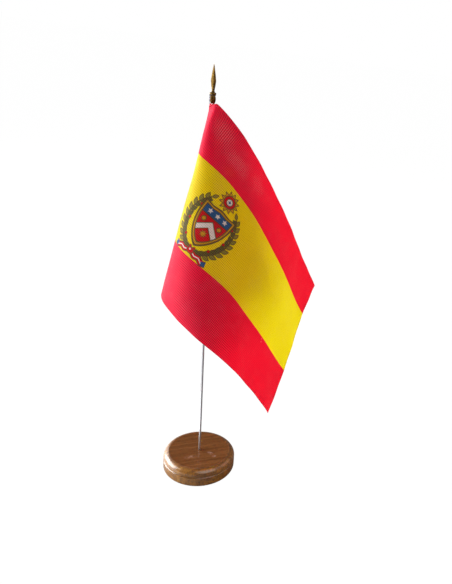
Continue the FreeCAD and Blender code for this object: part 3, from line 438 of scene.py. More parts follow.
# ============================================================ cloth surface
KU = [0, 5, 11, 18, 26, 36, 48, 63, 82, 105, 130, 156, 183, 210]
KV = [0, 8, 18, 32, 50, 72, 95, 118, 140]
NET = [
    [(1.190, -4.421, 337.494), (1.094, -4.282, 334.832), (1.227, -4.403, 328.838), (1.157, -4.383, 318.183), (1.184, -4.404, 304.172), (1.172, -4.392, 286.171), (1.178, -4.398, 265.170), (1.177, -4.393, 242.503), (1.178, -4.396, 219.836), (1.179, -4.394, 204.836), (1.169, -4.401, 197.502)],
    [(1.246, -6.089, 337.406), (0.384, -5.908, 334.830), (-0.163, -5.363, 328.845), (-0.104, -5.454, 318.197), (-0.119, -5.459, 304.178), (-0.059, -5.510, 286.175), (-0.084, -5.490, 265.173), (-0.025, -5.547, 242.506), (-0.060, -5.513, 219.839), (-0.128, -5.430, 204.838), (-0.187, -5.376, 197.506)],
    [(2.497, -9.730, 336.873), (0.894, -9.994, 334.702), (-1.999, -9.306, 329.031), (-3.182, -7.651, 318.260), (-2.977, -7.629, 304.206), (-2.730, -8.083, 286.212), (-2.906, -7.824, 265.188), (-2.644, -8.114, 242.527), (-2.816, -7.932, 219.855), (-2.992, -7.725, 204.856), (-3.190, -7.508, 197.524)],
    [(6.950, -13.269, 334.356), (5.331, -13.898, 332.338), (1.324, -15.405, 327.882), (-4.549, -14.601, 318.283), (-7.371, -12.138, 304.319), (-7.648, -11.428, 286.200), (-7.039, -12.249, 265.223), (-7.337, -11.883, 242.547), (-7.377, -11.825, 219.881), (-7.773, -11.359, 204.880), (-8.119, -10.945, 197.567)],
    [(12.547, -14.752, 330.264), (10.850, -15.492, 328.320), (7.208, -17.755, 324.134), (0.238, -20.892, 316.367), (-7.841, -20.335, 304.040), (-12.093, -17.400, 286.322), (-12.842, -16.181, 265.221), (-12.724, -16.289, 242.583), (-12.776, -16.289, 219.901), (-13.509, -15.387, 204.937), (-13.782, -15.088, 197.612)],
    [(18.887, -14.735, 324.692), (17.272, -15.939, 322.922), (13.555, -18.459, 318.883), (7.205, -23.235, 311.776), (-1.888, -27.280, 301.560), (-12.074, -27.004, 285.836), (-17.631, -23.730, 265.291), (-19.229, -21.646, 242.608), (-20.012, -20.564, 219.995), (-20.361, -20.079, 205.017), (-20.864, -19.508, 197.722)],
    [(25.480, -12.713, 317.298), (24.057, -14.262, 315.648), (20.889, -17.835, 311.956), (14.924, -23.806, 305.327), (6.460, -30.685, 296.314), (-5.255, -35.255, 282.792), (-16.498, -34.877, 264.285), (-23.235, -31.673, 242.365), (-26.216, -28.874, 219.889), (-27.508, -27.295, 204.994), (-27.960, -26.796, 197.696)],
    [(32.098, -8.597, 307.582), (30.804, -10.309, 305.998), (28.093, -14.319, 302.456), (23.317, -21.595, 296.279), (16.192, -30.536, 288.086), (5.191, -39.711, 276.535), (-8.069, -44.329, 260.329), (-19.190, -44.230, 240.269), (-27.131, -42.032, 218.823), (-30.857, -39.883, 204.288), (-32.044, -38.802, 197.065)],
    [(39.557, -2.949, 295.247), (38.351, -4.775, 293.711), (35.580, -8.833, 290.253), (29.739, -15.195, 283.797), (24.703, -25.685, 276.070), (17.915, -39.686, 266.660), (4.914, -50.484, 253.103), (-9.143, -55.231, 235.412), (-20.011, -55.529, 215.153), (-25.257, -54.456, 201.304), (-28.436, -54.153, 194.607)],
    [(48.326, 4.081, 279.732), (47.396, 2.024, 278.303), (45.371, -2.635, 275.078), (41.525, -10.840, 269.338), (35.644, -20.909, 261.571), (29.585, -34.935, 252.168), (20.775, -50.390, 240.681), (7.238, -63.616, 226.881), (-7.901, -70.021, 209.607), (-14.910, -69.112, 195.656), (-16.531, -67.597, 188.624)],
    [(58.318, 12.185, 261.335), (57.245, 10.219, 259.890), (54.834, 5.795, 256.628), (51.536, -2.665, 251.045), (45.529, -12.751, 243.282), (40.198, -27.290, 234.006), (33.329, -43.856, 223.051), (24.373, -60.436, 210.653), (13.080, -76.735, 198.394), (2.494, -82.822, 187.603), (-1.872, -82.787, 181.252)],
    [(68.540, 21.602, 240.852), (67.501, 19.603, 239.424), (65.184, 15.093, 236.206), (61.116, 7.032, 230.498), (55.915, -3.600, 222.992), (51.658, -18.693, 213.957), (42.559, -33.773, 202.399), (33.495, -50.478, 189.922), (30.325, -70.977, 179.578), (23.996, -82.465, 171.483), (19.380, -87.150, 166.989)],
    [(77.789, 32.312, 218.955), (76.851, 30.245, 217.555), (74.742, 25.603, 214.394), (71.408, 17.114, 208.853), (67.322, 5.866, 201.581), (62.689, -8.934, 192.468), (56.345, -25.858, 181.619), (48.619, -43.549, 169.755), (37.695, -59.376, 156.960), (34.698, -72.122, 149.630), (34.089, -78.851, 146.398)],
    [(88.320, 42.565, 196.708), (87.249, 40.580, 195.282), (84.882, 36.092, 192.066), (80.575, 28.167, 186.327), (76.105, 17.053, 179.029), (71.552, 2.238, 169.883), (66.382, -15.150, 159.282), (58.890, -32.950, 147.436), (52.956, -51.694, 136.065), (49.396, -64.402, 128.819), (46.847, -70.141, 124.987)],
    [(96.013, 49.171, 181.874), (94.927, 47.210, 180.433), (92.442, 42.821, 177.182), (88.523, 34.703, 171.515), (82.839, 24.301, 163.848), (78.698, 9.136, 154.869), (74.006, -8.506, 144.433), (66.392, -26.280, 132.424), (61.286, -45.477, 121.456), (57.108, -57.714, 113.869), (55.090, -63.704, 110.141)],
    [(99.189, 52.956, 174.360), (98.115, 50.987, 172.914), (95.827, 46.460, 169.671), (92.392, 38.028, 164.094), (87.640, 27.087, 156.708), (82.763, 12.390, 147.535), (77.715, -5.069, 136.962), (71.373, -23.619, 125.355), (65.158, -42.208, 113.980), (60.124, -54.003, 106.235), (57.990, -59.937, 102.512)],
]

POLE_TOP_OF_CLOTH = 337.5
CLOTH_L, CLOTH_H = 210.0, 140.0
CLOTH_T = 0.30
BANDS = (34.5, 97.2)


def basis(knots, x, p=3):
    kn = np.array([knots[0]] * p + list(knots) + [knots[-1]] * p, float)
    x = np.clip(np.asarray(x, float), knots[0], knots[-1] - 1e-7)
    n = ((kn[:-1][None] <= x[:, None]) & (x[:, None] < kn[1:][None])).astype(float)
    for q in range(1, p + 1):
        m = n.shape[1] - 1
        a = np.zeros((len(x), m))
        for i in range(m):
            d0, d1 = kn[i + q] - kn[i], kn[i + q + 1] - kn[i + 1]
            if d0 > 0:
                a[:, i] += (x - kn[i]) / d0 * n[:, i]
            if d1 > 0:
                a[:, i] += (kn[i + q + 1] - x) / d1 * n[:, i + 1]
        n = a
    return n


NET = np.array(NET, float)


def sheet_at(u, v):
    """Points of the undisturbed cloth surface, mm."""
    return np.einsum("ki,kj,ijc->kc", basis(KU, u), basis(KV, v), NET)


def unit(a):
    return a / np.maximum(np.linalg.norm(a, axis=-1, keepdims=True), 1e-12)


def frame_at(f, u, v, step=0.25):
    """Point, u direction, v direction and normal of surface f."""
    u, v = np.asarray(u, float), np.asarray(v, float)
    ua, ub = np.clip(u - step, 0, CLOTH_L), np.clip(u + step, 0, CLOTH_L)
    va, vb = np.clip(v - step, 0, CLOTH_H), np.clip(v + step, 0, CLOTH_H)
    du = (f(ub, v) - f(ua, v)) / (ub - ua)[:, None]
    dv = (f(u, vb) - f(u, va)) / (vb - va)[:, None]
    return f(u, v), unit(du), unit(dv), unit(np.cross(du, dv))


def ripple(u, v):
    """Small lifts of the cloth: puckers along the seam, loose selvedges."""
    seam = 0.16 * np.exp(-u / 5.0) * np.sin(2 * math.pi * v / 8.6 + 1.3 * np.sin(v / 17.0))
    seam = seam * np.clip(u / 2.5, 0, 1)
    low = 0.22 * np.exp(-(CLOTH_H - v) / 5.5) * np.sin(2 * math.pi * u / 31.0 + 0.8 * np.sin(u / 14.0))
    top = 0.15 * np.exp(-v / 5.0) * np.sin(2 * math.pi * u / 24.0 + 1.1)
    fly = 0.18 * np.exp(-(CLOTH_L - u) / 5.0) * np.sin(2 * math.pi * v / 27.0 + 0.5)
    wide = 0.16 * np.sin(u / 13.0 + 0.9 * np.sin(v / 21.0)) * np.sin(v / 15.0 + 0.6)
    print_pull = 0.05 * np.exp(-((u - 61) ** 2 + (v - 67) ** 2) / 900.0) * np.sin(u / 4.1) * np.sin(v / 5.3)
    start = np.clip(u / 8.0, 0, 1) ** 2
    return (seam + start * (low + top + fly + wide + print_pull))


def ease(x, a, b):
    t = np.clip((x - a) / (b - a), 0, 1)
    return t * t * (3 - 2 * t)


def drape(u, v):
    """The first fold leans out over the sleeve at the top corner."""
    w = ease(u, 0.0, 7.0) * (1 - ease(u, 13.0, 40.0))
    a = w * (1 - ease(v, -6.0, 60.0))
    a1 = a * (1 + 1.3 * np.exp(-v / 5.0))
    rise = ease(u, 6.0, 15.0) * (1 - ease(u, 14.0, 42.0))
    lift = 5.0 * rise * (1 - ease(v, -4.0, 38.0))
    out = np.stack([-2.45 * a1, 0.5 * lift * ease(u, 8.0, 16.0) - 0.2 * a,
                    2.0 * rise * (1 - ease(v, -6.0, 60.0)) + lift], 1)
    # the fold stands forward in a soft roll
    roll = 4.2 * ease(u, 7.0, 15.5) * (1 - ease(u, 15.5, 34.0)) * (1 - ease(v, 16.0, 58.0))
    return out + roll[:, None] * np.array([0.06, -0.99, 0.12])


def cloth_at(u, v):
    u, v = np.asarray(u, float), np.asarray(v, float)
    p, _, _, n = frame_at(sheet_at, u, v, 0.4)
    return p + n * ripple(u, v)[:, None] + drape(u, v)


# ------------------------------------------------------------ printed emblem
# Plain club-style badge in cloth millimetres, x to the fly, y up.
EMBLEM_AT = (61.0, 67.8)


def ring(cx, cy, rx, ry=None, n=40, a0=0.0, a1=2 * math.pi):
    ry = rx if ry is None else ry
    full = abs(a1 - a0 - 2 * math.pi) < 1e-9
    k = n if full else n + 1
    return [(cx + rx * math.cos(a0 + (a1 - a0) * i / n), cy + ry * math.sin(a0 + (a1 - a0) * i / n))
            for i in range(k)]


def star(cx, cy, big, small, n, turn=0.0):
    out = []
    for i in range(2 * n):
        r = big if i % 2 == 0 else small
        a = math.pi / 2 + turn + math.pi * i / n
        out.append((cx + r * math.cos(a), cy + r * math.sin(a)))
    return out


def inset(poly, d):
    """Poly moved inwards by d (outwards if d is negative)."""
    pts = np.array(poly, float)
    area = 0.5 * np.sum(pts[:, 0] * np.roll(pts[:, 1], -1) - np.roll(pts[:, 0], -1) * pts[:, 1])
    if area < 0:
        pts = pts[::-1]
    e = unit(np.roll(pts, -1, 0) - pts)
    nrm = np.stack([-e[:, 1], e[:, 0]], 1)
    prev = np.roll(nrm, 1, 0)
    b = nrm + prev
    k = d / np.maximum((1 + np.sum(nrm * prev, 1)), 0.45)
    return [tuple(q) for q in pts + b * k[:, None]]


def band_along(path, half, taper=0.0):
    """Closed strip of half width `half` about a path."""
    p = np.array(path, float)
    d = unit(np.gradient(p, axis=0))
    n = np.stack([-d[:, 1], d[:, 0]], 1)
    w = half * (1 - taper * np.linspace(0, 1, len(p)))[:, None]
    return [tuple(q) for q in p + n * w] + [tuple(q) for q in (p - n * w)[::-1]]


def leaf(x, y, ang, length, width, n=9):
    """Pointed leaf from its foot."""
    s = np.linspace(0, 1, n)
    w = width * np.sin(math.pi * s ** 0.85) ** 0.9
    c, sn = math.cos(ang), math.sin(ang)
    left = [(x + length * a * c - b * sn, y + length * a * sn + b * c) for a, b in zip(s, w / 2)]
    right = [(x + length * a * c + b * sn, y + length * a * sn - b * c) for a, b in zip(s, w / 2)]
    return left + right[-2:0:-1]


def emblem_shapes():
    out = []

    k_all = 1.1

    def add(poly, colour):
        out.append(([(k_all * x, k_all * y) for x, y in poly], colour))

    # laurel branches
    for side in (-1, 1):
        arc = []
        for k in range(25):
            a = math.radians(-97 + 146 * k / 24)
            rx = 18.6 - 1.2 * k / 24
            arc.append((side * (rx * math.cos(a)), -1.4 + 21.4 * math.sin(a)))
        add(band_along(arc, 0.85, 0.35), "line")
        for k in range(2, 24, 2):
            x, y = arc[k]
            dx, dy = arc[min(k + 1, 24)][0] - arc[k - 1][0], arc[min(k + 1, 24)][1] - arc[k - 1][1]
            a = math.atan2(dy, dx)
            ln = 6.4 - 1.4 * abs(k - 11) / 12
            for out_side in (-1, 1):
                aa = a + out_side * math.radians(36)
                lf = leaf(x, y, aa, ln, 3.3)
                add(lf, "line")
                add(inset(lf, 0.52), "leaf" if out_side * side < 0 else "leaf_dark")
                if k % 6 == 2 and out_side * side > 0:
                    bx, by = x + 2.6 * math.cos(a + out_side * 1.45), y + 2.6 * math.sin(a + out_side * 1.45)
                    add(ring(bx, by, 1.25, n=14), "line")
                    add(ring(bx, by, 0.85, n=12), "red")
        tip = arc[24]
        dx, dy = tip[0] - arc[22][0], tip[1] - arc[22][1]
        lf = leaf(tip[0], tip[1], math.atan2(dy, dx), 5.0, 2.8)
        add(lf, "line")
        add(inset(lf, 0.45), "leaf")
    # ribbon that ties the stems
    for side in (-1, 1):
        tail = [(side * 1.2, -22.4), (side * 4.8, -24.0), (side * 8.2, -23.2), (side * 11.6, -25.0),
                (side * 14.6, -24.0)]
        xs = np.linspace(0, 4, 17)
        tail = [(np.interp(s, range(5), [q[0] for q in tail]), np.interp(s, range(5), [q[1] for q in tail]))
                for s in xs]
        strip = band_along(tail, 2.1)
        add(strip, "line")
        add(inset(strip, 0.55), "red")
        core = band_along(tail[1:-1], 0.4)
        add(core, "white")
        end = band_along(tail[-5:], 1.5)
        add(inset(end, 0.0), "blue")
    knot = ring(0, -22.4, 3.1, 2.5, 26)
    add(knot, "line")
    add(ring(0, -22.4, 2.5, 1.9, 24), "red")
    add(ring(-0.5, -21.8, 0.85, 0.6, 14), "white")

    # pointed shield
    def shield(s):
        top, half, low = 12.3 * s, 13.6 * s, -18.6 * s
        pts = [(-half, top), (-half * 0.5, top - 1.0 * s), (0, top), (half * 0.5, top - 1.0 * s), (half, top)]
        dense = []
        for (x0, y0), (x1, y1) in zip(pts[:-1], pts[1:]):
            for k in range(4):
                dense.append((x0 + (x1 - x0) * k / 4, y0 + (y1 - y0) * k / 4))
        dense.append(pts[-1])
        right = []
        for k in range(1, 19):
            q = math.sin(math.pi / 2 * k / 18.0)
            right.append((half * (1 - q ** 2.6) ** 0.75, top + (low - top) * q))
        left = [(-x, y) for x, y in right[:-1]][::-1]
        return dense + right + left

    add(shield(1.0), "line")
    add(shield(0.915), "gold")
    add(shield(0.84), "line")
    inner = shield(0.785)
    add(inner, "red")
    out_clip = inner

    def clipped(poly, colour):
        out.append(([(k_all * x, k_all * y) for x, y in poly], colour,
                    [(k_all * x, k_all * y) for x, y in out_clip]))

    clipped([(-14, 13), (14, 13), (14, 3.6), (-14, 3.6)], "line")
    clipped([(-14, 13), (14, 13), (14, 4.3), (-14, 4.3)], "blue")
    for x in (-6.2, 0.0, 6.2):
        add(star(x, 6.9, 2.1, 0.95, 5), "white")
    # one broad chevron, point up
    clipped([(-14, -9.6), (0, 2.2), (14, -9.6), (14, -15.4), (0, -3.6), (-14, -15.4)], "line")
    clipped([(-14, -10.3), (0, 1.5), (14, -10.3), (14, -14.7), (0, -2.9), (-14, -14.7)], "white")
    add(star(0, -8.4, 3.2, 1.5, 8), "line")
    add(star(0, -8.4, 2.5, 1.15, 8), "gold")
    for x in (-6.4, 6.4):
        add(ring(x, 0.4, 1.9, n=18), "line")
        add(ring(x, 0.4, 1.3, n=16), "gold")

    # sun with rays above the shield
    add(star(0, 20.4, 8.3, 5.6, 12), "line")
    add(star(0, 20.4, 7.1, 4.9, 12), "gold")
    add(ring(0, 20.4, 4.9, n=30), "line")
    add(ring(0, 20.4, 4.2, n=28), "red")
    add(ring(0, 20.4, 2.8, n=24), "line")
    add(ring(0, 20.4, 2.15, n=22), "white")
    add(star(0, 20.4, 1.8, 0.7, 4), "blue")
    return out


def inside(poly, x, y):
    """Even-odd test of many points."""
    p = np.array(poly, float)
    hit = np.zeros(len(x), bool)
    for (x0, y0), (x1, y1) in zip(p, np.roll(p, -1, 0)):
        if y0 == y1:
            continue
        cross = ((y0 > y) != (y1 > y)) & (x < (x1 - x0) * (y - y0) / (y1 - y0) + x0)
        hit ^= cross
    return hit


def build_flag():
    shapes = emblem_shapes()
    ex, ey = EMBLEM_AT
    pts, edges = [], []

    def chain(poly, closed=True):
        first = len(pts)
        for q in poly:
            pts.append((float(q[0]), float(q[1])))
        k = len(poly)
        for i in range(k if closed else k - 1):
            edges.append((first + i, first + (i + 1) % k))

    # cut edge of the cloth
    step = 1.5
    nu, nv = int(CLOTH_L / step), int(round(CLOTH_H / step))
    rim = [(CLOTH_L * i / nu, 0.0) for i in range(nu)]
    rim += [(CLOTH_L, CLOTH_H * i / nv) for i in range(nv)]
    rim += [(CLOTH_L - CLOTH_L * i / nu, CLOTH_H) for i in range(nu)]
    rim += [(0.0, CLOTH_H - CLOTH_H * i / nv) for i in range(nv)]
    chain(rim)
    for b in BANDS:
        chain([(CLOTH_L * i / nu, b) for i in range(nu + 1)], closed=False)
    contour = []
    for s in shapes:
        poly = [(ex + x, ey - y) for x, y in s[0]]
        if len(s) == 3:
            clip = [(ex + x, ey - y) for x, y in s[2]]
            chain(poly)
        else:
            chain(poly)
        contour.append(poly)
    # fill points on a staggered lattice, clear of every line drawn above
    lines = np.array(pts)
    seg = np.array(edges)
    a, b = lines[seg[:, 0]], lines[seg[:, 1]]
    grid = []
    rows = int(CLOTH_H / (step * 0.87))
    for r in range(1, rows):
        v = CLOTH_H * r / rows
        off = step / 2 if r % 2 else 0.0
        for c in range(0, nu + 1):
            u = c * step + off
            if 0.5 < u < CLOTH_L - 0.5:
                grid.append((u, v))
    grid = np.array(grid)
    near = np.zeros(len(grid), bool)
    ab = b - a
    ll = np.maximum(np.sum(ab * ab, 1), 1e-12)
    for lo in range(0, len(grid), 400):
        g = grid[lo:lo + 400]
        tt = np.clip(np.einsum("gsk,sk->gs", g[:, None] - a[None], ab) / ll, 0, 1)
        d = np.linalg.norm(g[:, None] - (a[None] + tt[..., None] * ab[None]), axis=2)
        near[lo:lo + 400] = d.min(1) < 0.45
    pts += [tuple(q) for q in grid[~near]]
    verts, _, faces, *_ = geometry.delaunay_2d_cdt([Vector(q) for q in pts], edges, [], 0, 1e-5)
    uv = np.array([(q.x, q.y) for q in verts])
    tri = np.array([f for f in faces])
    # keep real triangles inside the cut, all wound the same way
    e1, e2 = uv[tri[:, 1]] - uv[tri[:, 0]], uv[tri[:, 2]] - uv[tri[:, 0]]
    cr = e1[:, 0] * e2[:, 1] - e1[:, 1] * e2[:, 0]
    tri[cr < 0] = tri[cr < 0][:, ::-1]
    tri = tri[np.abs(cr) > 1e-9]
    mid = uv[tri].mean(1)
    tri = tri[(mid[:, 0] > 0) & (mid[:, 0] < CLOTH_L) & (mid[:, 1] > 0) & (mid[:, 1] < CLOTH_H)]
    mid = uv[tri].mean(1)
    col = np.empty((len(tri), 3))
    yel = (mid[:, 1] > BANDS[0]) & (mid[:, 1] < BANDS[1])
    col[:] = RED
    col[yel] = YELLOW
    x, y = mid[:, 0] - ex, -(mid[:, 1] - ey)
    zone = np.where((abs(x) < 30) & (abs(y) < 34))[0]
    for s in shapes:
        hit = inside(s[0], x[zone], y[zone])
        if len(s) == 3:
            hit &= inside(s[2], x[zone], y[zone])
        col[zone[hit]] = INK[s[1]]

    # two faces of the cloth and a rounded cut edge
    n0 = len(uv)
    p, du, dv, n = frame_at(cloth_at, uv[:, 0], uv[:, 1])
    half = CLOTH_T / 2
    front, back = p + n * half, p - n * half
    count = {}
    for t in tri:
        for i in range(3):
            k = (int(t[i]), int(t[(i + 1) % 3]))
            count[k] = count.get(k, 0) + 1
    rim_edges = [k for k in count if (k[1], k[0]) not in count]
    nxt = {k[0]: k[1] for k in rim_edges}
    start = rim_edges[0][0]
    loop, q = [start], nxt[start]
    while q != start:
        loop.append(q)
        q = nxt[q]
    assert len(loop) == len(rim_edges)
    m = len(loop)
    li = np.array(loop)
    outward = np.zeros((m, 3))
    lu, lv = uv[li, 0], uv[li, 1]
    outward += du[li] * (lu > CLOTH_L - 1e-4)[:, None] - du[li] * (lu < 1e-4)[:, None]
    outward += dv[li] * (lv > CLOTH_H - 1e-4)[:, None] - dv[li] * (lv < 1e-4)[:, None]
    outward = unit(outward)
    bead = half * 1.15
    ringsz, K = [], 5
    for k in range(1, K):
        th = math.pi * k / K
        ringsz.append(p[li] + n[li] * (half * math.cos(th)) + outward * (bead * math.sin(th)))
    allv = np.vstack([front, back] + ringsz)
    faces_out, cols, uvs = [], [], []
    for t, c in zip(tri, col):
        faces_out.append((int(t[0]), int(t[1]), int(t[2])))
        cols.append((c, c, c))
        uvs.append(uv[t])
    for t, c in zip(tri, col):
        faces_out.append((int(t[2]) + n0, int(t[1]) + n0, int(t[0]) + n0))
        cols.append((c, c, c))
        uvs.append(uv[t[::-1]])

    def edge_colour(v):
        return np.array(YELLOW if BANDS[0] < v < BANDS[1] else RED) * 0.9

    def idx(k, i):
        i %= m
        if k == 0:
            return loop[i]
        if k == K:
            return loop[i] + n0
        return 2 * n0 + (k - 1) * m + i

    for i in range(m):
        va, vb = uv[loop[i]], uv[loop[(i + 1) % m]]
        c = edge_colour((va[1] + vb[1]) / 2)
        for k in range(K):
            faces_out.append((idx(k, i + 1), idx(k, i), idx(k + 1, i), idx(k + 1, i + 1)))
            cols.append((c,) * 4)
            uvs.append(np.array([vb, va, va, vb]))
    normals = np.vstack([n, -n] + [unit(n[li] * math.cos(math.pi * k / K) + outward * math.sin(math.pi * k / K))
                                   for k in range(1, K)])
    return make_mesh("flag_cloth_print", allv * MM, faces_out, cols, uvs, normals)


def make_mesh(name, verts, faces, cols=None, uvs=None, normals=None, smooth=True, uv_name="cloth"):
    me = bpy.data.meshes.new(name)
    me.from_pydata([tuple(v) for v in np.asarray(verts, float)], [], [tuple(f) for f in faces])
    me.update()
    me.polygons.foreach_set("use_smooth", [smooth] * len(me.polygons))
    if cols is not None:
        at = me.color_attributes.new("print", "FLOAT_COLOR", "CORNER")
        flat = np.ones((len(me.loops), 4), np.float32)
        flat[:, :3] = np.concatenate([np.asarray(c, float).reshape(-1, 3) for c in cols])
        at.data.foreach_set("color", flat.ravel())
    if uvs is not None:
        layer = me.uv_layers.new(name=uv_name)
        flat = np.concatenate([np.asarray(q, float).reshape(-1, 2) for q in uvs]) / UV_MM
        layer.data.foreach_set("uv", flat.astype(np.float32).ravel())
    if normals is not None:
        me.normals_split_custom_set_from_vertices([tuple(v) for v in normals])
    ob = bpy.data.objects.new(name, me)
    scene.collection.objects.link(ob)
    return ob


# ------------------------------------------------------------- hoist sleeve
TAIL_AZ = math.radians(-75.0)
ER = np.array([math.cos(TAIL_AZ), math.sin(TAIL_AZ)])
ET = np.array([-math.sin(TAIL_AZ), math.cos(TAIL_AZ)])
SLEEVE_T = 0.26
FLAP = 3.4


def sleeve_profile(v, puck):
    """Middle line of the folded strip at one height: flap, round the pole, flap.
    Returns points (mm)."""
    us = np.linspace(FLAP, 0.0, 6)
    vv = np.full(6, v)
    p, _, _, n = frame_at(cloth_at, us, vv)
    gap = CLOTH_T / 2 + SLEEVE_T / 2 + 0.02
    side = 1.0 if (n[-1, :2] @ ET) > 0 else -1.0
    a = p + n * gap
    b = (p - n * gap)[::-1]
    z = p[-1, 2]
    # foot of each flank in the tail's own axes
    rs = 2.36 + 0.05 * puck
    out = [a]
    tip = 4.55
    half = gap
    d = math.hypot(tip, half)
    ang = math.atan2(half, tip) + math.acos(rs / d)
    t0 = np.array([rs * math.cos(ang), rs * math.sin(ang)])
    fl = np.array([tip, half])
    flank = [fl + (t0 - fl) * k / 5 for k in range(1, 5)]
    arc = [np.array([rs * math.cos(q), rs * math.sin(q)]) for q in np.linspace(ang, 2 * math.pi - ang, 34)]
    back = [np.array([q[0], -q[1]]) for q in flank[::-1]]
    mid2 = np.array(flank + arc + back)
    xy = mid2[:, :1] * ER[None] + side * mid2[:, 1:] * ET[None]
    mid = np.hstack([xy, np.full((len(xy), 1), z)])
    pts = np.vstack([a, mid, b])
    # ease the flap into the flank
    for _ in range(2):
        q = pts.copy()
        q[1:-1] = 0.25 * pts[:-2] + 0.5 * pts[1:-1] + 0.25 * pts[2:]
        q[:2], q[-2:] = pts[:2], pts[-2:]
        pts = q
    return pts


def build_sleeve():
    rows = 118
    vs = np.linspace(0.0, CLOTH_H, rows)
    extra = sorted(set(list(vs) + [BANDS[0], BANDS[1]]))
    vs = np.array(extra)
    lines = []
    for v in vs:
        puck = math.sin(2 * math.pi * v / 9.0) + 0.6 * math.sin(2 * math.pi * v / 3.0 + 0.4)
        lines.append(sleeve_profile(v, puck))
    L = np.array(lines)  # rows x k x 3
    R_, K_ = L.shape[:2]
    du = np.gradient(L, axis=1)
    dvv = np.gradient(L, axis=0)
    n = unit(np.cross(du, dvv))
    # point the normals away from the pole on the round part
    ctr = L[:, K_ // 2]
    if np.mean(np.sum(n[:, K_ // 2, :2] * ctr[:, :2], 1)) < 0:
        n = -n
    half = SLEEVE_T / 2
    outer, inner = L + n * half, L - n * half
    s = np.cumsum(np.r_[0, np.linalg.norm(np.diff(L[R_ // 2], axis=0), axis=1)])
    verts = np.vstack([outer.reshape(-1, 3), inner.reshape(-1, 3)])
    N0 = R_ * K_
    faces, cols, uvs = [], [], []

    def c_at(v):
        return np.array(YELLOW if BANDS[0] < v < BANDS[1] else RED)

    flip = None
    for i in range(R_ - 1):
        c = c_at((vs[i] + vs[i + 1]) / 2)
        for k in range(K_ - 1):
            q = (i * K_ + k, i * K_ + k + 1, (i + 1) * K_ + k + 1, (i + 1) * K_ + k)
            uvq = np.array([(s[k], vs[i]), (s[k + 1], vs[i]), (s[k + 1], vs[i + 1]), (s[k], vs[i + 1])])
            if flip is None:
                a, b, d = verts[q[0]], verts[q[1]], verts[q[3]]
                flip = np.dot(np.cross(b - a, d - a), n.reshape(-1, 3)[q[0]]) < 0
            qo = q[::-1] if flip else q
            uo = uvq[::-1] if flip else uvq
            faces.append(qo)
            cols.append((c,) * 4)
            uvs.append(uo)
            qi = tuple(x + N0 for x in (q if flip else q[::-1]))
            faces.append(qi)
            cols.append((c,) * 4)
            uvs.append(uvq if flip else uvq[::-1])
    # hems round the border
    border = [(0, k) for k in range(K_)] + [(i, K_ - 1) for i in range(1, R_)] + \
             [(R_ - 1, k) for k in range(K_ - 2, -1, -1)] + [(i, 0) for i in range(R_ - 2, 0, -1)]
    m = len(border)
    mids = []
    for (i, k) in border:
        o = np.zeros(3)
        if i == 0:
            o += L[0, k] - L[1, k]
        if i == R_ - 1:
            o += L[-1, k] - L[-2, k]
        if k == 0:
            o += L[i, 0] - L[i, 1]
        if k == K_ - 1:
            o += L[i, -1] - L[i, -2]
        mids.append(L[i, k] + unit(o) * half)
    base = len(verts)
    verts = np.vstack([verts, np.array(mids)])
    for j in range(m):
        i0, k0 = border[j]
        i1, k1 = border[(j + 1) % m]
        a, b = i0 * K_ + k0, i1 * K_ + k1
        ma, mb = base + j, base + (j + 1) % m
        c = c_at((vs[i0] + vs[i1]) / 2) * 0.9
        quv = np.array([(s[k0], vs[i0]), (s[k1], vs[i1]), (s[k1], vs[i1]), (s[k0], vs[i0])])
        f1, f2 = (b, a, ma, mb), (mb, ma, a + N0, b + N0)
        if flip:
            f1, f2 = f1[::-1], f2[::-1]
        faces += [f1, f2]
        cols += [(c,) * 4, (c,) * 4]
        uvs += [quv, quv]
    return make_mesh("hoist_sleeve_hem", verts * MM, faces, cols, uvs)


# ----------------------------------------------------------------- threads
def tube(path, radius, sides=8, closed=False, caps=True):
    """Vertices and faces of a round thread along a path (mm)."""
    p = np.array(path, float)
    m = len(p)
    if closed:
        tan = unit(np.roll(p, -1, 0) - np.roll(p, 1, 0))
    else:
        tan = unit(np.gradient(p, axis=0))
    ref = np.array([0.0, 0.0, 1.0]) if abs(tan[0, 2]) < 0.9 else np.array([1.0, 0.0, 0.0])
    nrm = unit(np.cross(tan[0], ref))
    frames = []
    for i in range(m):
        nrm = unit(nrm - tan[i] * np.dot(nrm, tan[i]))
        frames.append((nrm.copy(), np.cross(tan[i], nrm)))
    rad = np.full(m, radius) if np.isscalar(radius) else np.asarray(radius)
    v, f = [], []
    for i in range(m):
        for k in range(sides):
            a = 2 * math.pi * k / sides
            v.append(p[i] + rad[i] * (math.cos(a) * frames[i][0] + math.sin(a) * frames[i][1]))
    last = m if closed else m - 1
    shift = 0
    if closed:  # meet the first ring at its nearest corner
        d = [np.linalg.norm(v[(m - 1) * sides] - v[k]) for k in range(sides)]
        shift = int(np.argmin(d))
    for i in range(last):
        j = (i + 1) % m
        sh = shift if j == 0 and closed else 0
        for k in range(sides):
            f.append((i * sides + k, i * sides + (k + 1) % sides,
                      j * sides + (k + 1 + sh) % sides, j * sides + (k + sh) % sides))
    if not closed and caps:
        a = len(v)
        v.append(p[0] - tan[0] * rad[0] * 0.6)
        v.append(p[-1] + tan[-1] * rad[-1] * 0.6)
        for k in range(sides):
            f.append((a, (k + 1) % sides, k))
            o = (m - 1) * sides
            f.append((a + 1, o + k, o + (k + 1) % sides))
    return v, f


def join_parts(name, parts):
    v, f = [], []
    for pv, pf in parts:
        o = len(v)
        v += list(pv)
        f += [tuple(x + o for x in q) for q in pf]
    return make_mesh(name, np.array(v) * MM, f)


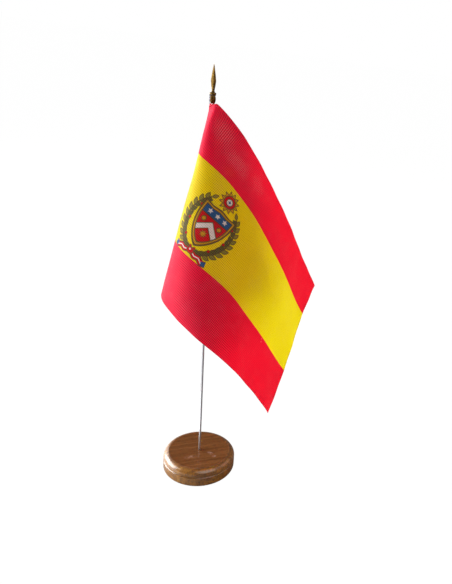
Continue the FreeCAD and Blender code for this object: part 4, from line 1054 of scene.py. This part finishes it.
def plied(path, radius, pitch, plies=2, sides=7, closed=False, turns=None):
    """Threads twisted round each other along a path."""
    p = np.array(path, float)
    seg = np.linalg.norm(np.diff(np.vstack([p, p[:1]]) if closed else p, axis=0), axis=1)
    length = seg.sum()
    n = max(int(length / (pitch / 9.0)), 12)
    s = np.r_[0, np.cumsum(seg)]
    src = np.vstack([p, p[:1]]) if closed else p
    at = np.linspace(0, length, n, endpoint=not closed)
    q = np.stack([np.interp(at, s, src[:, k]) for k in range(3)], 1)
    tan = unit(np.roll(q, -1, 0) - np.roll(q, 1, 0)) if closed else unit(np.gradient(q, axis=0))
    ref = np.array([0.0, 0.0, 1.0])
    if abs(tan[0] @ ref) > 0.9:
        ref = np.array([1.0, 0.0, 0.0])
    if closed:
        a = unit(np.cross(tan, ref[None]))
        b = np.cross(tan, a)
    else:
        nn = unit(np.cross(tan[0], ref))
        a = []
        for i in range(n):
            nn = unit(nn - tan[i] * np.dot(nn, tan[i]))
            a.append(nn.copy())
        a = np.array(a)
        b = np.cross(tan, a)
    turns = max(round(length / pitch), 1)
    out = []
    for k in range(plies):
        ph = 2 * math.pi * k / plies + 2 * math.pi * turns * at / length
        off = radius * 0.5
        path2 = q + off * (np.cos(ph)[:, None] * a + np.sin(ph)[:, None] * b)
        out.append(tube(path2, radius * 0.56, sides, closed=closed))
    return out


def build_stitches():
    parts = []
    lift = CLOTH_T / 2 + SLEEVE_T + 0.02
    for side in (1, -1):
        for k in range(45):
            vc = 4.0 + 3.0 * k + (0.0 if side > 0 else 0.0) + rng.uniform(-0.12, 0.12)
            uc = 1.75 + rng.uniform(-0.08, 0.08)
            vv = np.linspace(vc - 1.12, vc + 1.12, 9)
            uu = np.full(9, uc) + np.linspace(-0.05, 0.05, 9)
            p, _, _, n = frame_at(cloth_at, uu, vv)
            bow = lift - 0.20 + 0.27 * np.sin(np.linspace(0, math.pi, 9)) ** 0.6
            path = p + side * n * bow[:, None]
            parts += plied(path, 0.125, 0.9, 2, 6)
    return join_parts("seam_stitching", parts)


def build_loop():
    parts = []
    z0 = 344.1
    circle = [(2.13 * math.cos(a), 2.13 * math.sin(a), z0 + 0.05 * math.sin(2 * a))
              for a in np.linspace(0, 2 * math.pi, 72, endpoint=False)]
    parts += plied(circle, 0.2, 0.95, 2, 8, closed=True)
    for az, r_top, r_low in ((182.0, 2.30, 2.46), (214.0, 2.30, 2.46)):
        a = math.radians(az)
        ends = []
        for s in np.linspace(0, 1, 40):
            z = z0 - 0.05 - s * (z0 - 0.05 - 336.4)
            belly = 0.16 * math.sin(math.pi * min(s * 1.25, 1.0))
            r = r_top + (r_low - r_top) * s + belly - (0.18 * max(0.0, (s - 0.86) / 0.14))
            aa = a + 0.035 * math.sin(2.2 * math.pi * s)
            ends.append((r * math.cos(aa), r * math.sin(aa), z))
        parts += plied(ends, 0.2, 0.95, 2, 8)
    # small overhand knot where the strands meet the ring
    a0 = math.radians(198.0)
    c = np.array([2.42 * math.cos(a0), 2.42 * math.sin(a0), z0 - 0.05])
    e1 = np.array([-math.sin(a0), math.cos(a0), 0.0])
    e2 = np.array([math.cos(a0), math.sin(a0), 0.0])
    knot = []
    for s in np.linspace(0, 2 * math.pi, 60, endpoint=False):
        knot.append(c + 0.23 * ((math.sin(s) + 2 * math.sin(2 * s)) * e1 * 0.75
                                + (math.cos(s) - 2 * math.cos(2 * s)) * np.array([0, 0, 1.0]) * 0.75
                                + 0.45 * (1 + math.sin(3 * s)) * e2))
    parts.append(tube(knot, 0.13, 7, closed=True))
    return join_parts("hanging_thread", parts)


def build_felt():
    """Felt disc with a soft, slightly ragged rim."""
    prof = [(0.0, 0.8), (8.0, 0.8), (16.0, 0.8), (22.0, 0.8), (26.0, 0.8), (27.6, 0.79), (27.9, 0.68),
            (28.0, 0.45), (27.95, 0.2), (27.7, 0.04), (27.0, 0.0), (22.0, 0.0), (16.0, 0.0), (8.0, 0.0),
            (0.0, 0.0)]
    seg = 180
    v, f = [(0.0, 0.0, 0.8)], []
    for j, (r, z) in enumerate(prof[1:-1]):
        for i in range(seg):
            a = 2 * math.pi * i / seg
            rr = r
            zz = z
            if r > 27.3:
                rr += 0.07 * math.sin(17 * a + j) + 0.05 * math.sin(41 * a + 2.0 * j) + rng.uniform(-0.04, 0.04)
            if z < 0.3 and r > 26:
                zz += abs(0.02 * math.sin(23 * a))
            v.append((rr * math.cos(a), rr * math.sin(a), zz))
    v.append((0.0, 0.0, 0.0))
    n = len(prof) - 2
    last = len(v) - 1
    for i in range(seg):
        k = (i + 1) % seg
        f.append((0, 1 + i, 1 + k))
        f.append((last, 1 + (n - 1) * seg + k, 1 + (n - 1) * seg + i))
        for j in range(n - 1):
            a, b = 1 + j * seg, 1 + (j + 1) * seg
            f.append((a + i, b + i, b + k, a + k))
    return make_mesh("felt_foot", np.array(v) * MM, f)


# ================================================================== making
m_wood, m_steel, m_brass = wood_material(), steel_material(), brass_material()
m_cloth = fabric_material("printed_knit", "cloth")
m_sleeve = fabric_material("printed_knit_hem", "cloth", holes=0.0)
m_seam = thread_material("seam_thread_red", lin(120, 14, 26), lin(206, 40, 56))
m_loop = thread_material("loop_thread_grey", lin(132, 138, 160), lin(214, 218, 232), 0.4,
                         painted_shade_from=343.6)
m_felt = felt_material()


def assign(ob, mat):
    if not ob.data.materials:
        ob.data.materials.append(mat)
    for slot in ob.material_slots:
        slot.material = mat


assign(NODES["wood_base"], m_wood)
assign(NODES["pole"], m_steel)
assign(NODES["finial"], m_brass)

flag = build_flag()
assign(flag, m_cloth)
sleeve = build_sleeve()
assign(sleeve, m_sleeve)
stitches = build_stitches()
assign(stitches, m_seam)
loop = build_loop()
assign(loop, m_loop)
felt = build_felt()
assign(felt, m_felt)

for piece, body, node, slot in ((flag, "flag", "flag_cloth", "flag_fabric"),
                                (sleeve, "flag", "hoist_sleeve", "sleeve_fabric"),
                                (stitches, "flag", "seam_thread", "thread"),
                                (loop, "flag", "hanging_loop", "loop_thread"),
                                (felt, "base", "base_felt", "felt")):
    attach(piece, body)
    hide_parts(node)

# ============================================================ stage, lights
def stage_material():
    t = Tree("pale_floor")
    path = t.node("ShaderNodeLightPath", out=None)
    x = t.sep(t.node("ShaderNodeNewGeometry", out=None).outputs["Position"])[0]
    # painted shade: in reflections only, the floor is darker on its right side
    dim = t.math("MULTIPLY", path.outputs["Is Glossy Ray"], t.span(x, -0.05, 0.03, 0.0, 0.65))
    a = FLOOR["albedo"]
    dif = t.node("ShaderNodeBsdfDiffuse", Color=t.mix(dim, (a, a * 0.995, a * 0.985), (0.0, 0.0, 0.0)))
    glow = t.node("ShaderNodeEmission", Color=(1.0, 1.0, 1.0), Strength=FLOOR["glow"])
    seen = t.math("MULTIPLY", path.outputs["Is Camera Ray"], FLOOR["seen"])
    return t.surface(t.node("ShaderNodeMixShader", Fac=seen, i1=dif, i2=glow))


FLOOR = {"albedo": 0.62, "glow": 1.07, "seen": 0.93}
bpy.ops.mesh.primitive_circle_add(vertices=96, radius=12.0, fill_type="NGON", location=(0, 0, 0))
floor = bpy.context.object
floor.name = "floor"
floor.data.materials.append(stage_material())

world = bpy.data.worlds.new("studio")
scene.world = world
world.use_nodes = True
wt = world.node_tree
wt.nodes.clear()
w_out = wt.nodes.new("ShaderNodeOutputWorld")
w_bg = wt.nodes.new("ShaderNodeBackground")
w_seen = wt.nodes.new("ShaderNodeBackground")
w_mix = wt.nodes.new("ShaderNodeMixShader")
w_path = wt.nodes.new("ShaderNodeLightPath")
w_soft = wt.nodes.new("ShaderNodeBackground")
w_pick = wt.nodes.new("ShaderNodeMixShader")
w_bg.inputs[0].default_value = (1.0, 0.97, 0.94, 1.0)
w_bg.inputs[1].default_value = 0.02
w_seen.inputs[0].default_value = (1.0, 1.0, 1.0, 1.0)
w_seen.inputs[1].default_value = 1.0
wt.links.new(w_path.outputs["Is Camera Ray"], w_mix.inputs[0])
w_soft.inputs[0].default_value = (1.0, 0.99, 0.98, 1.0)
w_soft.inputs[1].default_value = 0.12
wt.links.new(w_path.outputs["Is Glossy Ray"], w_pick.inputs[0])
wt.links.new(w_bg.outputs[0], w_pick.inputs[1])
wt.links.new(w_soft.outputs[0], w_pick.inputs[2])
wt.links.new(w_pick.outputs[0], w_mix.inputs[1])
wt.links.new(w_seen.outputs[0], w_mix.inputs[2])
wt.links.new(w_mix.outputs[0], w_out.inputs[0])


def softbox(name, direction, distance, size, power, colour=(1, 1, 1), aim=(0.03, 0.0, 0.2)):
    d = Vector(direction).normalized()
    lamp = bpy.data.lights.new(name, "AREA")
    lamp.shape = "RECTANGLE"
    lamp.size, lamp.size_y = size
    lamp.energy = power
    lamp.color = colour
    ob = bpy.data.objects.new(name, lamp)
    scene.collection.objects.link(ob)
    ob.visible_camera = False
    ob.location = Vector(aim) + d * distance
    ob.rotation_mode = "QUATERNION"
    ob.rotation_quaternion = d.to_track_quat("Z", "Y")
    return ob


# name, direction, distance, size, power, colour
LIGHTS = [
    ("window_left", (-0.975, 0.172, 0.139), 1.1, (1.1, 0.9), 31.5, (1.0, 1.0, 1.0)),
    ("window_back", (-0.754, 0.633, 0.174), 1.1, (0.8, 0.8), 4.6, (1.0, 1.0, 1.0)),
    ("front_warm", (0.41, -0.709, 0.574), 1.1, (1.0, 0.9), 5.6, (1.0, 0.93, 0.86)),
    ("right_warm", (0.924, 0.081, 0.375), 1.1, (0.8, 0.8), 2.3, (1.0, 0.62, 0.48)),
]
for row in LIGHTS:
    softbox(*row)
# a low card beside the base, seen only in the lacquer and the metal
card = softbox("low_card", (0.0, 0.0, 1.0), 0.0, (0.07, 0.18), 0.06, (1.0, 0.98, 0.97), (-0.078, 0.02, 0.001))
card.rotation_quaternion = (0.0, 1.0, 0.0, 0.0)
card.visible_diffuse = False
card.visible_transmission = False
